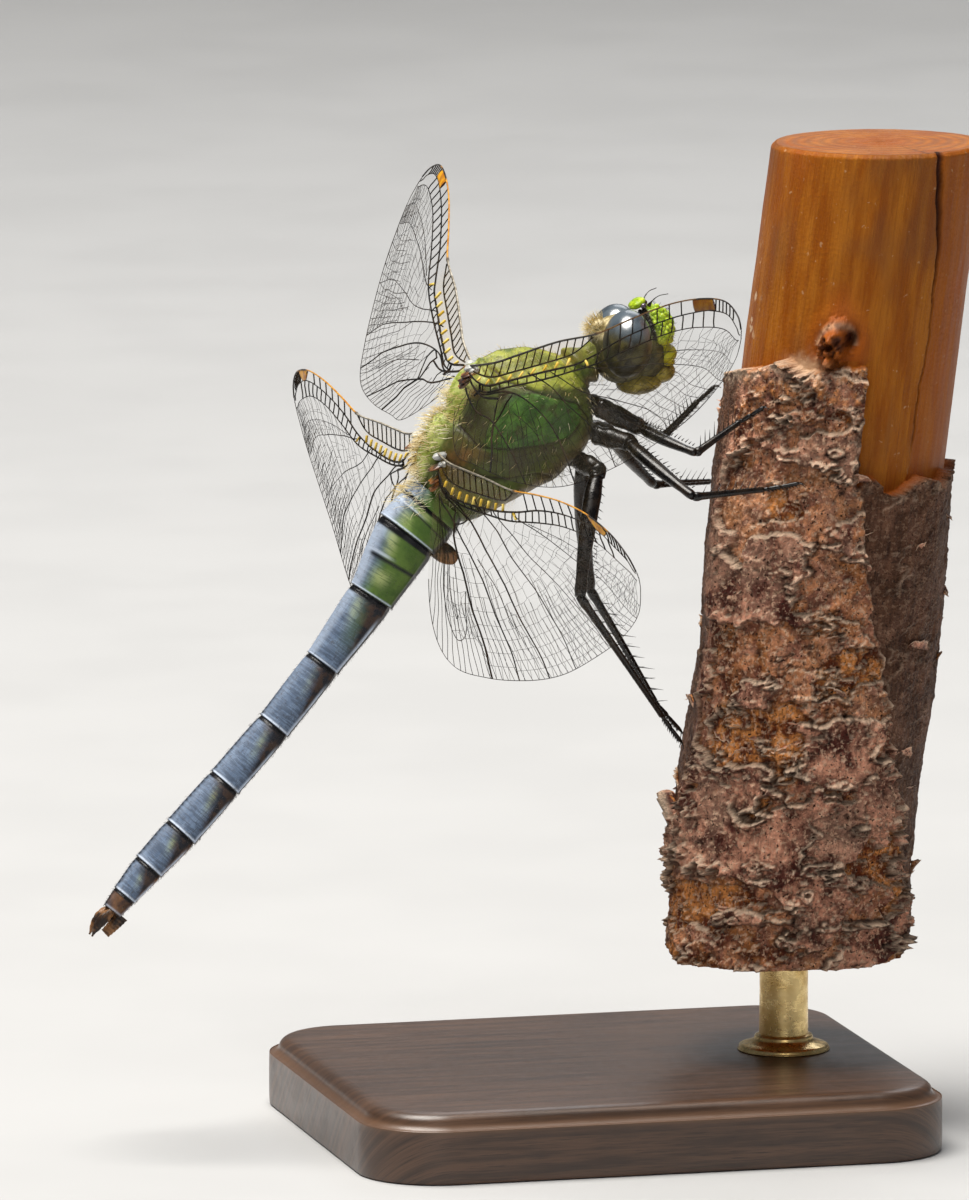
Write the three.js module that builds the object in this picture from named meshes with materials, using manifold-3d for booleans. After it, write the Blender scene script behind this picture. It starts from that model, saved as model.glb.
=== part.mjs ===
// Eastern pondhawk dragonfly (male) gripping a short cut branch on a plain display stand.
// Millimetres, +Z up. The origin is the centre of the stand base's underside.
// The head points to +X and up, the animal's right side to -Y; its mid-plane is Y = 0.
import * as THREE from 'three';
import { mergeVertices } from 'three/addons/utils/BufferGeometryUtils.js';
import Module from 'manifold-3d';

const wasm = await Module();
wasm.setup();

// ---------- driving dimensions ----------
const GAP = 0.3;

// The thorax's frame starts at its rear; the abdomen's centreline starts at the waist.
const THORAX_REAR = new THREE.Vector3(-9.12, 0, 32.17);
const WAIST = new THREE.Vector3(-8.5, 0, 32.2);
const THORAX_PITCH = 39.8;
const HEAD_CENTRE = new THREE.Vector3(1.15, 0, 39.75);
const HEAD_PITCH = 6;
const EYE = { length: 2.5, breadth: 3.0, height: 3.5, lean: 26, tip: 14, forward: -0.26, side: 1.3, up: 0.2 };
const CAPSULE = { length: 3.1, breadth: 4.2, height: 3.5, forward: -0.35, up: -0.2 };
const CHEEKS = { centre: [0.9, 0, -0.6], radii: [1.0, 1.5, 1.3] };
// The plates of the face, in the head's frame.
const FRONS = { centre: [1.55, 0, 0.62], radii: [0.98, 1.35, 1.25], narrowing: 0.08 };
const VERTEX = { centre: [0.78, 0, 2.0], radii: [0.45, 0.62, 0.42] };
const CLYPEUS = { centre: [1.85, 0, -0.75], radii: [0.8, 1.2, 0.55] };
const LABRUM = { centre: [1.6, 0, -1.6], radii: [0.72, 1.15, 0.6] };
const LABIUM = { centre: [0.45, 0, -2.0], radii: [1.15, 1.35, 0.6] };
// The left antenna's points from socket to tip, in the head's frame.
const ANTENNA = {
  points: [[1.25, 0.62, 1.98], [1.4, 0.76, 2.15], [1.7, 0.92, 2.33], [2.15, 1.15, 2.42]],
  radius: 0.25,
};

// Thorax stations from rear to neck: forward, crown height, belly height, half width.
const THORAX_STATIONS = [
  { forward: 0.75, crown: 1.75, belly: -2.05, half: 1.7 },
  { forward: 1.3, crown: 2.3, belly: -2.3, half: 2.1 },
  { forward: 2.4, crown: 2.75, belly: -2.6, half: 2.45 },
  { forward: 4.2, crown: 3.45, belly: -3.05, half: 2.7 },
  { forward: 6.0, crown: 3.85, belly: -3.35, half: 2.75 },
  { forward: 7.6, crown: 3.35, belly: -3.3, half: 2.55 },
  { forward: 8.7, crown: 2.6, belly: -2.8, half: 2.15 },
  { forward: 9.4, crown: 1.75, belly: -1.9, half: 1.5 },
];
const THORAX_TOP_NARROWING = 0.45;
const PROTHORAX = { start: 9.72, end: 10.75, crown: 1.15, belly: -1.5, half: 1.15 };

// Abdomen segments from the waist back: length, pitch of the axis, depth and width at the rear ring.
const ABDOMEN_FRONT = { depth: 3.1, width: 2.9 };
const ABDOMEN = [
  { length: 0.75, pitch: 51.5, depth: 3.5, width: 3.2 },
  { length: 1.6, pitch: 44, depth: 3.5, width: 3.3 },
  { length: 3.56, pitch: 59, depth: 2.5, width: 2.5 },
  { length: 4.14, pitch: 52.5, depth: 1.95, width: 2.15 },
  { length: 3.96, pitch: 50.5, depth: 1.85, width: 2.2 },
  { length: 3.75, pitch: 47.4, depth: 1.85, width: 2.35 },
  { length: 3.29, pitch: 47, depth: 1.9, width: 2.4 },
  { length: 2.36, pitch: 45.3, depth: 1.7, width: 2.15 },
  { length: 1.87, pitch: 47.8, depth: 1.3, width: 1.75 },
  { length: 0.99, pitch: 50, depth: 1.0, width: 1.4 },
];
// A segment's section narrows toward its roof and is flattened below.
const SEGMENT_SECTION = { narrowing: 0.16, flatness: 0.92 };
const CERCUS = { length: 1.75, base: 0.3, middle: 0.34, tip: 0.25, spread: 0.42, drop: 0.1 };
const EPIPROCT = { length: 1.25, base: 0.34, tip: 0.26, drop: 0.55 };
const HAMULE = { forward: 0.55, depth: 0.9, half: 0.5 };

// Wing outlines as shares of wing length: place along the span, leading edge, trailing edge.
const FOREWING = {
  length: 32.5,
  nodus: 0.5,
  outline: [
    [0.0, 0.009, -0.03], [0.05, 0.004, -0.098], [0.12, 0.0, -0.16], [0.2, 0.002, -0.184],
    [0.35, 0.005, -0.223], [0.5, -0.001, -0.245], [0.62, 0.005, -0.236], [0.75, 0.008, -0.211],
    [0.86, 0.0, -0.179], [0.94, -0.016, -0.141], [0.985, -0.044, -0.108], [1.0, -0.071, -0.078],
  ],
};
const HINDWING = {
  length: 31,
  nodus: 0.44,
  outline: [
    [0.0, 0.01, -0.05], [0.03, 0.005, -0.192], [0.08, 0.001, -0.275], [0.16, 0.001, -0.316],
    [0.28, 0.001, -0.319], [0.42, -0.001, -0.307], [0.56, 0.006, -0.284], [0.7, 0.009, -0.244],
    [0.83, 0.002, -0.201], [0.93, -0.019, -0.156], [0.983, -0.05, -0.111], [1.0, -0.081, -0.086],
  ],
};
const WING_THICKNESS = 0.5;
const WING_ROWS = { span: 16, chord: 2 };
// How far the bend at the nodus is spread, as a share of the wing's length.
const NODUS_SPREAD = 0.12;
// Wing roots in the thorax's frame, then each wing's angles in degrees: sweep and
// lift of the inner spar, pitch at the root, twist to the tip, forward and downward bend at the nodus.
const WING_SETS = {
  forewing_right: {
    plan: FOREWING, side: 1, root: { forward: 5.6, side: 1.5, up: 4.06 },
    sweep: 15.9, lift: 5.0, pitch: 17.2, twist: 23.4, bend: 2.6, droop: 0.4,
  },
  forewing_left: {
    plan: FOREWING, side: -1, root: { forward: 6.11, side: 1.5, up: 3.38 },
    sweep: 15.6, lift: 2.15, pitch: 14.3, twist: 5.1, bend: 3.9, droop: -0.35,
  },
  hindwing_right: {
    plan: HINDWING, side: 1, root: { forward: 1.65, side: 1.5, up: 1.72 },
    sweep: 2.3, lift: 0.1, pitch: 41.7, twist: 29.2, bend: 0.9, droop: -0.5,
  },
  hindwing_left: {
    plan: HINDWING, side: -1, root: { forward: 1.82, side: 1.5, up: 2.37 },
    sweep: -0.8, lift: -2.9, pitch: 41.8, twist: 17.6, bend: 3.7, droop: -3.5,
  },
};

// Leg joints in the object's frame: root at the thorax, hip, knee, ankle and claw tip.
const LEG_JOINTS = {
  front_leg_right: [
    [-0.25, -0.9, 36.6], [1.35, -1.5, 35.8], [3.52, -4.6, 34.8], [6.04, -3.5, 36.1], [7.4, -3.95, 37.0],
  ],
  middle_leg_right: [
    [-0.5, -1.0, 35.3], [0.7, -1.95, 35.1], [2.87, -6.6, 32.91], [6.85, -5.1, 32.9], [8.83, -5.75, 33.3],
  ],
  hind_leg_right: [
    [-1.4, -1.0, 34.0], [-0.85, -1.9, 33.7], [-2.55, -5.0, 27.85], [2.62, -1.5, 21.1], [3.95, -0.95, 19.4],
  ],
  front_leg_left: [
    [-0.25, 0.9, 36.6], [1.35, 1.5, 35.8], [4.38, 4.6, 34.32], [5.75, 3.3, 36.2], [6.75, 3.2, 37.1],
  ],
  middle_leg_left: [
    [-0.5, 1.0, 35.3], [0.7, 1.95, 35.1], [4.13, 5.6, 31.7], [7.3, 6.6, 31.6], [9.4, 6.65, 32.1],
  ],
  hind_leg_left: [
    [-1.4, 1.0, 34.0], [-0.6, 1.9, 33.6], [0.58, 4.8, 26.6], [3.9, 4.5, 20.8], [5.6, 4.9, 18.9],
  ],
};
const LEG_RADII = {
  coxa: 0.5, hip: 0.42, thigh: 0.48, knee: 0.33, shin: 0.29, ankle: 0.25, toe: 0.25, claw: 0.2,
};
const LEG_SIDES = 8;

// Branch centreline in X from foot to top, radii of bare wood and of barked wood, and the torn
// upper edge of the bark, which is lower on the +X side.
const BRANCH = {
  bottom: 8.6, top: 49.5, footX: 9.45, topX: 14.3, bend: -0.25,
  woodRadius: 5.4, barkRadius: 6.3, barkEdge: 38.2, barkEdgeDrop: 6.0, tear: 0.9,
  rings: [8.6, 13, 18, 23, 27.5, 31.4, 32.6, 34, 36, 37.7, 38.9, 42, 46, 49.5],
};
const STAND = {
  length: 30, width: 26, thickness: 3.5, corner: 4, bevel: 0.5, rodRadius: 1.25,
};

// ---------- materials ----------
function paint(colour, roughness, metalness = 0) {
  return new THREE.MeshStandardMaterial({ color: colour, roughness, metalness });
}

// ---------- shape helpers ----------
function bare(geometry) {
  const plain = geometry.clone();
  plain.deleteAttribute('normal');
  plain.deleteAttribute('uv');
  return mergeVertices(plain, 1e-4);
}

function enclosedVolume(geometry) {
  const p = geometry.attributes.position;
  const index = geometry.index.array;
  const a = new THREE.Vector3();
  const b = new THREE.Vector3();
  const c = new THREE.Vector3();
  let sum = 0;
  for (let i = 0; i < index.length; i += 3) {
    a.fromBufferAttribute(p, index[i]);
    b.fromBufferAttribute(p, index[i + 1]);
    c.fromBufferAttribute(p, index[i + 2]);
    sum += a.dot(b.cross(c)) / 6;
  }
  return sum;
}

function faceOut(geometry) {
  const plain = bare(geometry);
  if (enclosedVolume(plain) < 0) {
    const index = plain.index.array;
    for (let i = 0; i < index.length; i += 3) {
      const keep = index[i + 1];
      index[i + 1] = index[i + 2];
      index[i + 2] = keep;
    }
  }
  plain.computeVertexNormals();
  return plain;
}

function toSolid(geometry) {
  const plain = faceOut(geometry);
  return new wasm.Manifold(new wasm.Mesh({
    numProp: 3,
    vertProperties: new Float32Array(plain.attributes.position.array),
    triVerts: new Uint32Array(plain.index.array),
  }));
}

function fromSolid(solid) {
  const mesh = solid.getMesh();
  const geometry = new THREE.BufferGeometry();
  geometry.setAttribute('position', new THREE.BufferAttribute(new Float32Array(mesh.vertProperties), 3));
  geometry.setIndex(new THREE.BufferAttribute(new Uint32Array(mesh.triVerts), 1));
  geometry.computeVertexNormals();
  return geometry;
}

function namedMesh(name, geometry, material) {
  const mesh = new THREE.Mesh(geometry, material);
  mesh.name = name;
  return mesh;
}

// A closed cylinder whose rings are moved: place(ring number, across, up) gives each point.
function ringBody(ringCount, sides, place) {
  const geometry = new THREE.CylinderGeometry(1, 1, 1, sides, ringCount - 1);
  const position = geometry.attributes.position;
  for (let i = 0; i < position.count; i += 1) {
    const ring = Math.round((0.5 - position.getY(i)) * (ringCount - 1));
    const point = place(ring, position.getX(i), position.getZ(i));
    position.setXYZ(i, point.x, point.y, point.z);
  }
  return faceOut(geometry);
}

// A frame pitched up by the angle: x forward along the body, y to its left, z up its back.
function bodyFrame(origin, pitchDegrees) {
  const pitch = THREE.MathUtils.degToRad(pitchDegrees);
  const forward = new THREE.Vector3(Math.cos(pitch), 0, Math.sin(pitch));
  const left = new THREE.Vector3(0, 1, 0);
  const up = new THREE.Vector3(-Math.sin(pitch), 0, Math.cos(pitch));
  return new THREE.Matrix4().makeBasis(forward, left, up).setPosition(origin);
}

// An ellipsoid, pulled in toward its top by the narrowing.
function egg(centre, radii, around = 20, rows = 12, narrowing = 0) {
  const geometry = new THREE.SphereGeometry(1, around, rows);
  geometry.rotateX(Math.PI / 2);
  const position = geometry.attributes.position;
  for (let i = 0; i < position.count; i += 1) {
    const z = position.getZ(i);
    const squeeze = 1 - narrowing * z;
    position.setXYZ(
      i,
      centre[0] + radii[0] * position.getX(i),
      centre[1] + radii[1] * squeeze * position.getY(i),
      centre[2] + radii[2] * z,
    );
  }
  return faceOut(geometry);
}

// A limb of round rings through the points.
function limb(points, radii, sides = LEG_SIDES) {
  const first = points[0];
  const last = points[points.length - 1];
  const along = last.clone().sub(first).normalize();
  const side = new THREE.Vector3(0, 0, 1).cross(along);
  if (side.length() < 0.2) side.set(0, 1, 0).cross(along);
  side.normalize();
  const up = along.clone().cross(side).normalize();
  return ringBody(points.length, sides, (ring, across, lift) => points[ring].clone()
    .addScaledVector(side, across * radii[ring])
    .addScaledVector(up, lift * radii[ring]));
}

function cut(geometry, others) {
  let solid = toSolid(geometry);
  for (const other of others) solid = solid.subtract(toSolid(other));
  return fromSolid(solid);
}

function join(geometries) {
  let solid = toSolid(geometries[0]);
  for (const other of geometries.slice(1)) solid = solid.add(toSolid(other));
  return fromSolid(solid);
}

// ---------- head ----------
const headFrame = bodyFrame(HEAD_CENTRE, HEAD_PITCH);

function eyeShape(side, grow) {
  const { length, breadth, height } = EYE;
  const shape = egg([0, 0, 0], [length / 2 + grow, breadth / 2 + grow, height / 2 + grow], 22, 14);
  shape.rotateX(side * THREE.MathUtils.degToRad(EYE.lean));
  shape.rotateY(THREE.MathUtils.degToRad(EYE.tip));
  shape.translate(EYE.forward, side * EYE.side, EYE.up);
  return shape;
}

// One side's eye, cut flat where the two eyes meet.
function makeEye(side) {
  const half = new THREE.BoxGeometry(8, 8, 8);
  half.translate(0, side * (4 + GAP / 2), 0);
  const kept = fromSolid(toSolid(eyeShape(side, 0)).intersect(toSolid(half)));
  kept.applyMatrix4(headFrame);
  return kept;
}

function plateShape(plate, grow = 0) {
  const radii = plate.radii.map((radius) => radius + grow);
  return egg(plate.centre, radii, 14, 10, plate.narrowing);
}

function capsuleShape(grow) {
  const { length, breadth, height, forward, up } = CAPSULE;
  return egg([forward, 0, up], [length / 2 + grow, breadth / 2 + grow, height / 2 + grow], 20, 12);
}

function makeHeadCapsule() {
  const capsule = join([capsuleShape(0), plateShape(CHEEKS)]);
  const plates = [FRONS, VERTEX, CLYPEUS, LABRUM, LABIUM].map((plate) => plateShape(plate, GAP));
  const kept = cut(capsule, [eyeShape(1, GAP), eyeShape(-1, GAP), ...plates]);
  kept.applyMatrix4(headFrame);
  return kept;
}

function cutInHead(geometry, others) {
  const kept = cut(geometry, others);
  kept.applyMatrix4(headFrame);
  return kept;
}

function makeAntenna(side) {
  const points = ANTENNA.points.map(([x, y, z]) => new THREE.Vector3(x, side * y, z));
  const clear = GAP / 2;
  const cutters = [plateShape(FRONS, clear), plateShape(VERTEX, clear), eyeShape(side, clear)];
  return cutInHead(limb(points, points.map(() => ANTENNA.radius), 6), cutters);
}

function addHead(group) {
  const shell = paint('#5f6a2c', 0.55);
  const eyePaint = paint('#66717c', 0.2);
  const face = paint('#8fbf1e', 0.4);
  const lip = paint('#8c8a2e', 0.5);
  const dark = paint('#17140f', 0.4);
  const eyes = [eyeShape(1, GAP), eyeShape(-1, GAP)];
  const underFrons = [plateShape(FRONS, GAP), ...eyes];
  group.add(namedMesh('head', makeHeadCapsule(), shell));
  group.add(namedMesh('eye_left', makeEye(1), eyePaint));
  group.add(namedMesh('eye_right', makeEye(-1), eyePaint.clone()));
  group.add(namedMesh('frons', cutInHead(plateShape(FRONS), eyes), face));
  group.add(namedMesh('vertex', cutInHead(plateShape(VERTEX), underFrons), face.clone()));
  group.add(namedMesh('clypeus', cutInHead(plateShape(CLYPEUS), underFrons), face.clone()));
  group.add(namedMesh('labrum', cutInHead(plateShape(LABRUM), [plateShape(CLYPEUS, GAP)]), lip));
  group.add(namedMesh('labium', cutInHead(plateShape(LABIUM), [plateShape(LABRUM, GAP)]), lip.clone()));
  group.add(namedMesh('antenna_left', makeAntenna(1), dark));
  group.add(namedMesh('antenna_right', makeAntenna(-1), dark.clone()));
}

// ---------- thorax ----------
const thoraxFrame = bodyFrame(THORAX_REAR, THORAX_PITCH);

function thoraxSection(station, across, lift) {
  const middle = (station.crown + station.belly) / 2;
  const half = (station.crown - station.belly) / 2;
  const width = station.half * (1 - THORAX_TOP_NARROWING * Math.max(0, lift) ** 2);
  return new THREE.Vector3(station.forward, across * width, middle + lift * half);
}

function thoraxShape(grow, sides = 24) {
  const geometry = ringBody(THORAX_STATIONS.length, sides, (ring, across, lift) => {
    const point = thoraxSection(THORAX_STATIONS[ring], across, lift);
    if (ring === 0) point.x -= grow;
    if (ring === THORAX_STATIONS.length - 1) point.x += grow;
    point.y += across * grow;
    point.z += lift * grow;
    return point;
  });
  geometry.applyMatrix4(thoraxFrame);
  return geometry;
}

function makeProthorax() {
  const rows = [0, 0.35, 0.7, 1];
  const swell = [0.9, 1.05, 1.0, 0.72];
  const geometry = ringBody(rows.length, 14, (ring, across, lift) => {
    const forward = PROTHORAX.start + rows[ring] * (PROTHORAX.end - PROTHORAX.start);
    const height = lift > 0 ? PROTHORAX.crown : -PROTHORAX.belly;
    return new THREE.Vector3(
      forward,
      across * PROTHORAX.half * swell[ring],
      lift * height * swell[ring],
    );
  });
  geometry.applyMatrix4(thoraxFrame);
  return cut(geometry, [headClearance()]);
}

function headClearance() {
  const clear = capsuleShape(GAP);
  clear.applyMatrix4(headFrame);
  return clear;
}

// ---------- abdomen ----------
function abdomenSection(across, lift, depth, width) {
  const roof = 1 - SEGMENT_SECTION.narrowing * lift;
  const flat = lift < 0 ? SEGMENT_SECTION.flatness : 1;
  return [across * roof * width / 2, lift * flat * depth / 2];
}

function segmentGeometry(index) {
  const here = ABDOMEN[index];
  const before = index ? ABDOMEN[index - 1] : { ...ABDOMEN_FRONT, pitch: THORAX_PITCH };
  const start = abdomenNode(index);
  const forward = pitchVector(here.pitch);
  const up = pitchVector(here.pitch + 90);
  const frontUp = pitchVector((here.pitch + before.pitch) / 2 + 90);
  const after = ABDOMEN[index + 1];
  const rearUp = pitchVector((here.pitch + (after ? after.pitch : here.pitch)) / 2 + 90);
  const rows = [0, 0.12, 0.5, 0.88, 1];
  const swell = [0.94, 1.0, 1.01, 1.0, 1.0];
  return ringBody(rows.length, 16, (ring, across, lift) => {
    const t = rows[ring];
    const depth = swell[ring] * (before.depth + (here.depth - before.depth) * t);
    const width = swell[ring] * (before.width + (here.width - before.width) * t);
    const [side, rise] = abdomenSection(across, lift, depth, width);
    const back = GAP / 2 + t * (here.length - GAP);
    const lean = up.clone();
    if (t < 0.2) lean.copy(frontUp);
    if (t > 0.8) lean.copy(rearUp);
    return start.clone()
      .addScaledVector(forward, -back)
      .addScaledVector(lean, rise)
      .add(new THREE.Vector3(0, side, 0));
  });
}

function pitchVector(degrees) {
  const angle = THREE.MathUtils.degToRad(degrees);
  return new THREE.Vector3(Math.cos(angle), 0, Math.sin(angle));
}

// The middle of the abdomen at the front of the segment with this number.
function abdomenNode(index) {
  const point = WAIST.clone();
  for (let i = 0; i < index; i += 1) {
    point.addScaledVector(pitchVector(ABDOMEN[i].pitch), -ABDOMEN[i].length);
  }
  return point;
}

function makeTail(side, drop, length, radii) {
  const end = abdomenNode(ABDOMEN.length);
  const last = ABDOMEN[ABDOMEN.length - 1];
  const back = pitchVector(last.pitch + 180);
  const up = pitchVector(last.pitch + 90);
  const points = radii.map((radius, i) => {
    const t = i / (radii.length - 1);
    return end.clone()
      .addScaledVector(back, GAP / 2 + t * length)
      .addScaledVector(up, drop + 0.12 * Math.sin(t * Math.PI))
      .add(new THREE.Vector3(0, side * (1 - 0.25 * t), 0));
  });
  return limb(points, radii, 8);
}

function makeHamule() {
  const node = abdomenNode(2);
  const up = pitchVector(ABDOMEN[1].pitch + 90);
  const forward = pitchVector(ABDOMEN[1].pitch);
  const under = (ABDOMEN[1].depth / 2) * SEGMENT_SECTION.flatness + GAP;
  const points = [0, 0.4, 0.8, 1.15].map((drop) => node.clone()
    .addScaledVector(forward, HAMULE.forward + drop * 0.25)
    .addScaledVector(up, -under - drop * HAMULE.depth));
  return limb(points, [HAMULE.half, HAMULE.half * 1.05, HAMULE.half * 0.8, HAMULE.half * 0.5], 8);
}

function addAbdomen(group) {
  const blue = paint('#7f93b5', 0.6);
  const green = paint('#7f9c4a', 0.5);
  const brown = paint('#6b4a2a', 0.6);
  ABDOMEN.forEach((segment, index) => {
    const colour = index < 3 ? green.clone() : blue.clone();
    const whole = segmentGeometry(index);
    const geometry = index ? whole : cut(whole, [thoraxShape(GAP, 16)]);
    group.add(namedMesh(`abdomen_segment_${index + 1}`, geometry, colour));
  });
  const cercus = [CERCUS.base, CERCUS.middle, CERCUS.middle, CERCUS.tip];
  group.add(namedMesh('cercus_left', makeTail(CERCUS.spread, CERCUS.drop, CERCUS.length, cercus), brown));
  group.add(namedMesh(
    'cercus_right',
    makeTail(-CERCUS.spread, CERCUS.drop, CERCUS.length, cercus),
    brown.clone(),
  ));
  const plate = [EPIPROCT.base, EPIPROCT.base, EPIPROCT.tip];
  group.add(namedMesh('epiproct', makeTail(0, -EPIPROCT.drop, EPIPROCT.length, plate), brown.clone()));
  group.add(namedMesh('hamule', makeHamule(), brown.clone()));
}

// ---------- wings ----------
const radians = THREE.MathUtils.degToRad;

function smooth(value, low, high) {
  const t = THREE.MathUtils.clamp((value - low) / (high - low), 0, 1);
  return t * t * (3 - 2 * t);
}

// The spar's direction at a share of the span, in the thorax's frame.
function sparDirection(wing, share) {
  const half = NODUS_SPREAD / 2;
  const bent = smooth(share, wing.plan.nodus - half, wing.plan.nodus + half);
  const direction = new THREE.Vector3();
  for (const [sweep, lift, weight] of [
    [wing.sweep, wing.lift, 1 - bent],
    [wing.sweep + wing.bend, wing.lift - wing.droop, bent],
  ]) {
    direction.addScaledVector(new THREE.Vector3(
      Math.cos(radians(lift)) * Math.sin(radians(sweep)),
      -wing.side * Math.cos(radians(lift)) * Math.cos(radians(sweep)),
      Math.sin(radians(lift)),
    ), weight);
  }
  return direction.normalize();
}

// The spar's points at even steps, from which any share is read.
function sparPoints(wing, steps = 100) {
  const points = [new THREE.Vector3(wing.root.forward, -wing.side * wing.root.side, wing.root.up)];
  for (let i = 0; i < steps; i += 1) {
    const next = points[i].clone();
    points.push(next.addScaledVector(sparDirection(wing, (i + 0.5) / steps), wing.plan.length / steps));
  }
  return points;
}

function wingPoint(wing, spar, share, chordShare, rise) {
  const place = share * (spar.length - 1);
  const step = Math.min(Math.floor(place), spar.length - 2);
  const point = spar[step].clone().lerp(spar[step + 1], place - step);
  const direction = sparDirection(wing, share);
  const pitch = radians(wing.pitch + wing.twist * share);
  const ahead = new THREE.Vector3(Math.cos(pitch), 0, Math.sin(pitch));
  const chord = ahead.addScaledVector(direction, -ahead.dot(direction)).normalize();
  const normal = direction.clone().cross(chord);
  return point
    .addScaledVector(chord, chordShare * wing.plan.length)
    .addScaledVector(normal, rise);
}

function edgeCurve(plan, column) {
  return new THREE.SplineCurve(plan.outline.map((row) => new THREE.Vector2(row[0], row[column])));
}

function makeWing(wing, cutters) {
  const { span, chord } = WING_ROWS;
  const lead = edgeCurve(wing.plan, 1).getPoints(span);
  const trail = edgeCurve(wing.plan, 2).getPoints(span);
  const spar = sparPoints(wing);
  const geometry = new THREE.BoxGeometry(1, 1, 1, span, chord, 1);
  const position = geometry.attributes.position;
  for (let i = 0; i < position.count; i += 1) {
    const row = Math.round((position.getX(i) + 0.5) * span);
    const across = position.getY(i) + 0.5;
    const share = THREE.MathUtils.lerp(trail[row].x, lead[row].x, across);
    const chordShare = THREE.MathUtils.lerp(trail[row].y, lead[row].y, across);
    const point = wingPoint(wing, spar, share, chordShare, position.getZ(i) * WING_THICKNESS);
    position.setXYZ(i, point.x, point.y, point.z);
  }
  geometry.applyMatrix4(thoraxFrame);
  return cut(faceOut(geometry), cutters);
}

function addWings(group, cutters) {
  const membrane = paint('#c9c7b4', 0.3);
  for (const [name, wing] of Object.entries(WING_SETS)) {
    group.add(namedMesh(name, makeWing(wing, cutters), membrane.clone()));
  }
}

// ---------- legs ----------
function between(from, to, shares) {
  return shares.map((share) => from.clone().lerp(to, share));
}

function shorten(from, to, startGap, endGap) {
  const length = from.distanceTo(to);
  return [startGap / length, 1 - endGap / length];
}

function makeThigh(joints) {
  const [, end] = shorten(joints[1], joints[2], 0, GAP);
  const points = [joints[0], ...between(joints[1], joints[2], [0, 0.5, 0.88, end])];
  const { coxa, hip, thigh, knee } = LEG_RADII;
  return limb(points, [coxa, hip, thigh, knee, knee * 0.8]);
}

function makeShin(joints) {
  const [start, end] = shorten(joints[2], joints[3], GAP, GAP * 0.6);
  const radii = [LEG_RADII.shin, LEG_RADII.shin, LEG_RADII.ankle, LEG_RADII.ankle];
  return limb(between(joints[2], joints[3], [start, 0.3, 0.75, end]), radii);
}

function makeFoot(joints) {
  const [start, end] = shorten(joints[3], joints[4], GAP * 0.6, 0);
  const radii = [LEG_RADII.toe, LEG_RADII.toe, LEG_RADII.claw];
  return limb(between(joints[3], joints[4], [start, 0.6, end]), radii);
}

function addLegs(group, bodyCutters) {
  const black = paint('#14120f', 0.3);
  for (const [name, places] of Object.entries(LEG_JOINTS)) {
    const joints = places.map((place) => new THREE.Vector3(...place));
    group.add(namedMesh(`${name}_femur`, cut(makeThigh(joints), bodyCutters), black.clone()));
    group.add(namedMesh(`${name}_tibia`, makeShin(joints), black.clone()));
    group.add(namedMesh(`${name}_tarsus`, makeFoot(joints), black.clone()));
  }
}

// ---------- perch and stand ----------
function branchCentre(height) {
  const t = (height - BRANCH.bottom) / (BRANCH.top - BRANCH.bottom);
  return BRANCH.footX + (BRANCH.topX - BRANCH.footX) * t + BRANCH.bend * Math.sin(Math.PI * t);
}

function branchRadius(height, across, lift) {
  const edge = BRANCH.barkEdge - BRANCH.barkEdgeDrop * smooth(across, 0.3, 0.55);
  const share = THREE.MathUtils.clamp((edge - height) / BRANCH.tear + 0.5, 0, 1);
  const knots = 0.16 * Math.sin(3 * Math.atan2(lift, across) + height * 0.35);
  return BRANCH.woodRadius + (BRANCH.barkRadius - BRANCH.woodRadius + knots) * share;
}

function makeBranch() {
  return ringBody(BRANCH.rings.length, 20, (ring, across, lift) => {
    const height = BRANCH.rings[ring];
    const radius = branchRadius(height, across, lift);
    return new THREE.Vector3(branchCentre(height) + across * radius, lift * radius, height);
  });
}

function makeStandBase() {
  const { length, width, thickness, corner, bevel } = STAND;
  const x = length / 2 - bevel;
  const y = width / 2 - bevel;
  const shape = new THREE.Shape();
  shape.moveTo(-x + corner, -y);
  shape.lineTo(x - corner, -y);
  shape.absarc(x - corner, -y + corner, corner, -Math.PI / 2, 0);
  shape.lineTo(x, y - corner);
  shape.absarc(x - corner, y - corner, corner, 0, Math.PI / 2);
  shape.lineTo(-x + corner, y);
  shape.absarc(-x + corner, y - corner, corner, Math.PI / 2, Math.PI);
  shape.lineTo(-x, -y + corner);
  shape.absarc(-x + corner, -y + corner, corner, Math.PI, Math.PI * 1.5);
  const geometry = new THREE.ExtrudeGeometry(shape, {
    depth: thickness - 2 * bevel,
    steps: 1,
    bevelEnabled: true,
    bevelThickness: bevel,
    bevelSize: bevel,
    bevelSegments: 2,
    curveSegments: 5,
  });
  geometry.translate(0, 0, bevel);
  return faceOut(geometry);
}

function makeStandRod() {
  const bottom = STAND.thickness + GAP;
  const top = BRANCH.bottom - GAP;
  const geometry = new THREE.CylinderGeometry(STAND.rodRadius, STAND.rodRadius, top - bottom, 20, 1);
  geometry.rotateX(Math.PI / 2);
  geometry.translate(BRANCH.footX, 0, (top + bottom) / 2);
  return faceOut(geometry);
}

function addPerchAndStand(group) {
  group.add(namedMesh('perch_branch', makeBranch(), paint('#8a5238', 0.85)));
  group.add(namedMesh('stand_base', makeStandBase(), paint('#3a2a20', 0.45)));
  group.add(namedMesh('stand_rod', makeStandRod(), paint('#a88a4f', 0.3, 1)));
}

// ---------- whole object ----------
function makeDragonfly() {
  const group = new THREE.Group();
  addHead(group);
  const green = paint('#4f9a2a', 0.5);
  group.add(namedMesh('prothorax', makeProthorax(), green.clone()));
  group.add(namedMesh('thorax', thoraxShape(0), green));
  addAbdomen(group);
  const body = [thoraxShape(GAP, 16)];
  addWings(group, body);
  addLegs(group, body);
  addPerchAndStand(group);
  return group;
}

export default makeDragonfly();
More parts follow.
